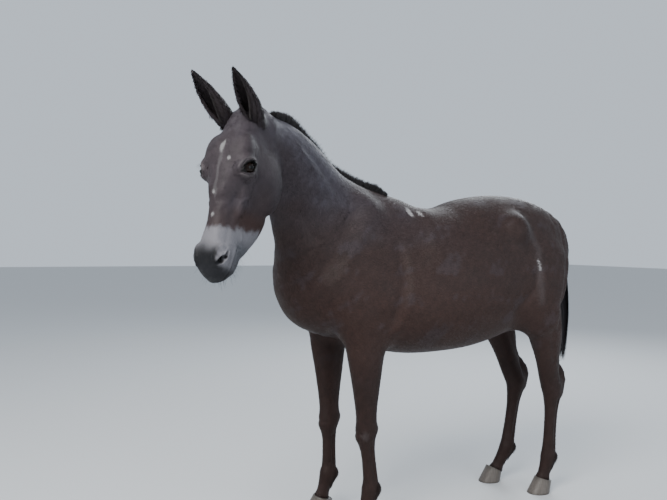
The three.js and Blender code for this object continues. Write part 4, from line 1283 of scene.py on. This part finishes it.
wet = surface("eye", 0.16, 0.12)
wet_inputs = wet.node_tree.nodes["Principled BSDF"].inputs
wet_inputs["Coat Weight"].default_value = 0.14
wet_inputs["Coat Roughness"].default_value = 0.03
for side, name in SIDES.items():
    gaze = unit(np.array([0.05, 0.22, 0.97 * side]) @ HEAD_AXES)
    bm = bmesh.new()
    bmesh.ops.create_icosphere(bm, subdivisions=6, radius=1.0)
    mesh = bpy.data.meshes.new("ball_" + name)
    bm.to_mesh(mesh)
    bm.free()
    way = unit(coords(mesh))
    radius = EYE_RADIUS - 0.3 + 1.6 * fade(way @ gaze, 0.8, 0.97)
    centre, out, along, across = lids(side)
    set_coords(mesh, to_row(centre + way * radius[:, None]))
    smooth(mesh)
    paint(mesh, eye_tone(way, gaze))
    show("ball_" + name, mesh, wet, ["eye_" + name])
    sign = 1 if across[2] > 0 else -1
    rim = LID_RADIUS + 0.5
    angle = np.radians(rng.uniform(-44, 50, LASHES))
    x, y = rim * np.sin(angle), sign * (rim * np.cos(angle) - LID_SHIFT + rng.uniform(0, 2, LASHES))
    z = np.sqrt(rim**2 - x**2 - y**2) + 0.5
    foot = centre + np.outer(x, along) + np.outer(y, across) + np.outer(z, out)
    way = out * 0.9 + np.outer(x / 40, along) + across * sign * 0.15
    way = unit(way + rng.normal(0, 0.12, (LASHES, 3)))
    long = rng.uniform(12, 21, LASHES)[:, None]
    path = strokes(foot, way * long, -UP * long, ((0.35, 0), (0.7, 0.12), (1, 0.3)), foot - way * 1.5)
    ribbons(f"lashes_{name}", path, unit(np.cross(way, UP)), 0.7, DARK * 0.5, unwrap(foot), dark_hair)

# Whiskers on lips and chin
p, n = samples(skin_mesh, WHISKERS, whisker_weight)
way = unit(n + HEAD_AXES[0] * 0.4 + rng.normal(0, 0.2, (WHISKERS, 3)))
long = rng.uniform(10, 34, WHISKERS)[:, None]
path = strokes(p, way * long, -UP * long, ((0.35, 0), (0.7, 0.06), (1, 0.16)), p - n)
ribbons("whiskers", path, unit(np.cross(way, [0.2, 0.3, 1.0])), 0.55, DARK, unwrap(p), dark_hair)

# Hooves: horn with fine rings, wider at the ground, clipped at the coronet
HOOF_RINGS, HOOF_SIDES = 44, 96
turn = np.linspace(0, 2 * math.pi, HOOF_SIDES, endpoint=False)


def hoof_ring(name, level):
    """One ring of the wall, from the ground at level 0 to the coronet at level 1."""
    wide, long = (53, 65) if name in FORE else (48, 62)
    c, s = np.cos(turn), np.sin(turn)
    narrow = (1 - 0.22 * level) * (1 - 0.006 * (math.sin(level * 47) + 0.6 * math.sin(level * 29 + 1)))
    shrink = np.where(c < 0, 1 - 0.2 * level, 1 - 0.56 * level)
    cleft = 1 - 0.16 * bell(turn - math.pi, 0.2) * (1 - 0.5 * level)
    bulb = np.where(c < 0, 1 - 0.16 * c * c, 1)
    rise = level * (HOOF_HEIGHT + c * 14 + np.minimum(c, 0) * 10)
    x = -26 * level + c * long * shrink * np.where(c < 0, 0.86 * cleft, 1)
    ring = JOINTS[name]["hoof"] + np.stack([x, s * wide * narrow * bulb, rise], axis=1)
    point, down = coronet(name)
    ring[:, 2] -= np.minimum((ring - point) @ down - 0.4, 0) / down[2]
    return ring


horn = surface("horn", 0.45, 0.35, bump=[(40, 0.0008, (1, 1, 0.2)), (260, 0.0004, (1, 1, 5))])
for name, joints in JOINTS.items():
    drawn = np.vstack([hoof_ring(name, level) for level in np.linspace(0, 1, HOOF_RINGS)])
    faces = ring_faces(HOOF_RINGS, HOOF_SIDES)
    faces += [list(range(HOOF_SIDES))[::-1], list(range(len(drawn) - HOOF_SIDES, len(drawn)))]
    mesh = mesh_of("hoof", to_row(drawn), faces)
    v = drawn - joints["hoof"]
    z = v[:, 2]
    grain = waves(v * [3, 3, 0.3], 30, 5) + 0.6 * np.sin(z * 1.1 + waves(v, 40, 6))
    tone = np.array([0.105, 0.09, 0.078]) * (1 + 0.16 * grain)[:, None]
    paint(mesh, tone * (1 - 0.35 * fade(12 - z, 0, 12))[:, None] * (1 - 0.25 * fade(z, 50, 70))[:, None])
    show("hoof_wall_" + name, mesh, horn, ["hoof_" + name])

# Studio
floor_mesh = mesh_of("floor", [(-30, -30, 0), (30, -30, 0), (30, 30, 0), (-30, 30, 0)], [(0, 1, 2, 3)])
floor_mesh.materials.append(surface("floor", 0.9, 0.2, colour=(0.55, 0.56, 0.565)))
floor = place("floor", floor_mesh)
world = bpy.data.worlds.new("sky")
bpy.context.scene.world = world
world.use_nodes = True
world.node_tree.nodes["Background"].inputs["Color"].default_value = (0.80, 0.89, 1.0, 1)
world.node_tree.nodes["Background"].inputs["Strength"].default_value = 0.8


def lamp(name, spot, target, size, power, colour):
    light = bpy.data.lights.new(name, "AREA")
    light.shape = "DISK"
    light.size = size
    light.energy = power
    light.color = colour
    obj = place(name, light)
    obj.location = spot
    obj.rotation_euler = (Vector(target) - Vector(spot)).to_track_quat("-Z", "Y").to_euler()


lamp("key", (3.2, 2.0, 4.2), (0, 0, 0.9), 3.0, 300, (1, 0.98, 0.95))
lamp("fill", (-1.5, 5.0, 2.2), (-0.2, 0, 0.9), 4, 90, (0.92, 0.96, 1))
lamp("back", (-3.5, -3.0, 4.2), (0, 0, 1.0), 3, 190, (0.9, 0.95, 1))

# Camera at the photograph's place, with its focal length and width in pixels
CAMERA_PLACE = (1.4998, 2.3872, 1.1871)
FOCAL, PHOTO_WIDTH, SENSOR = 648.62, 667, 36
yaw, pitch, roll = -2.016848, -0.009777, 0.009834
look = Vector((math.cos(pitch) * math.cos(yaw), math.cos(pitch) * math.sin(yaw), math.sin(pitch)))
right = look.cross(Vector((0, 0, 1))).normalized()
over = right.cross(look)
turned = math.cos(roll) * right + math.sin(roll) * over
over = -math.sin(roll) * right + math.cos(roll) * over
data = bpy.data.cameras.new("camera")
data.sensor_width = SENSOR
data.lens = FOCAL * SENSOR / PHOTO_WIDTH
camera = place("camera", data)
camera.matrix_world = Matrix.Translation(CAMERA_PLACE) @ Matrix((turned, over, -look)).transposed().to_4x4()
bpy.context.scene.camera = camera
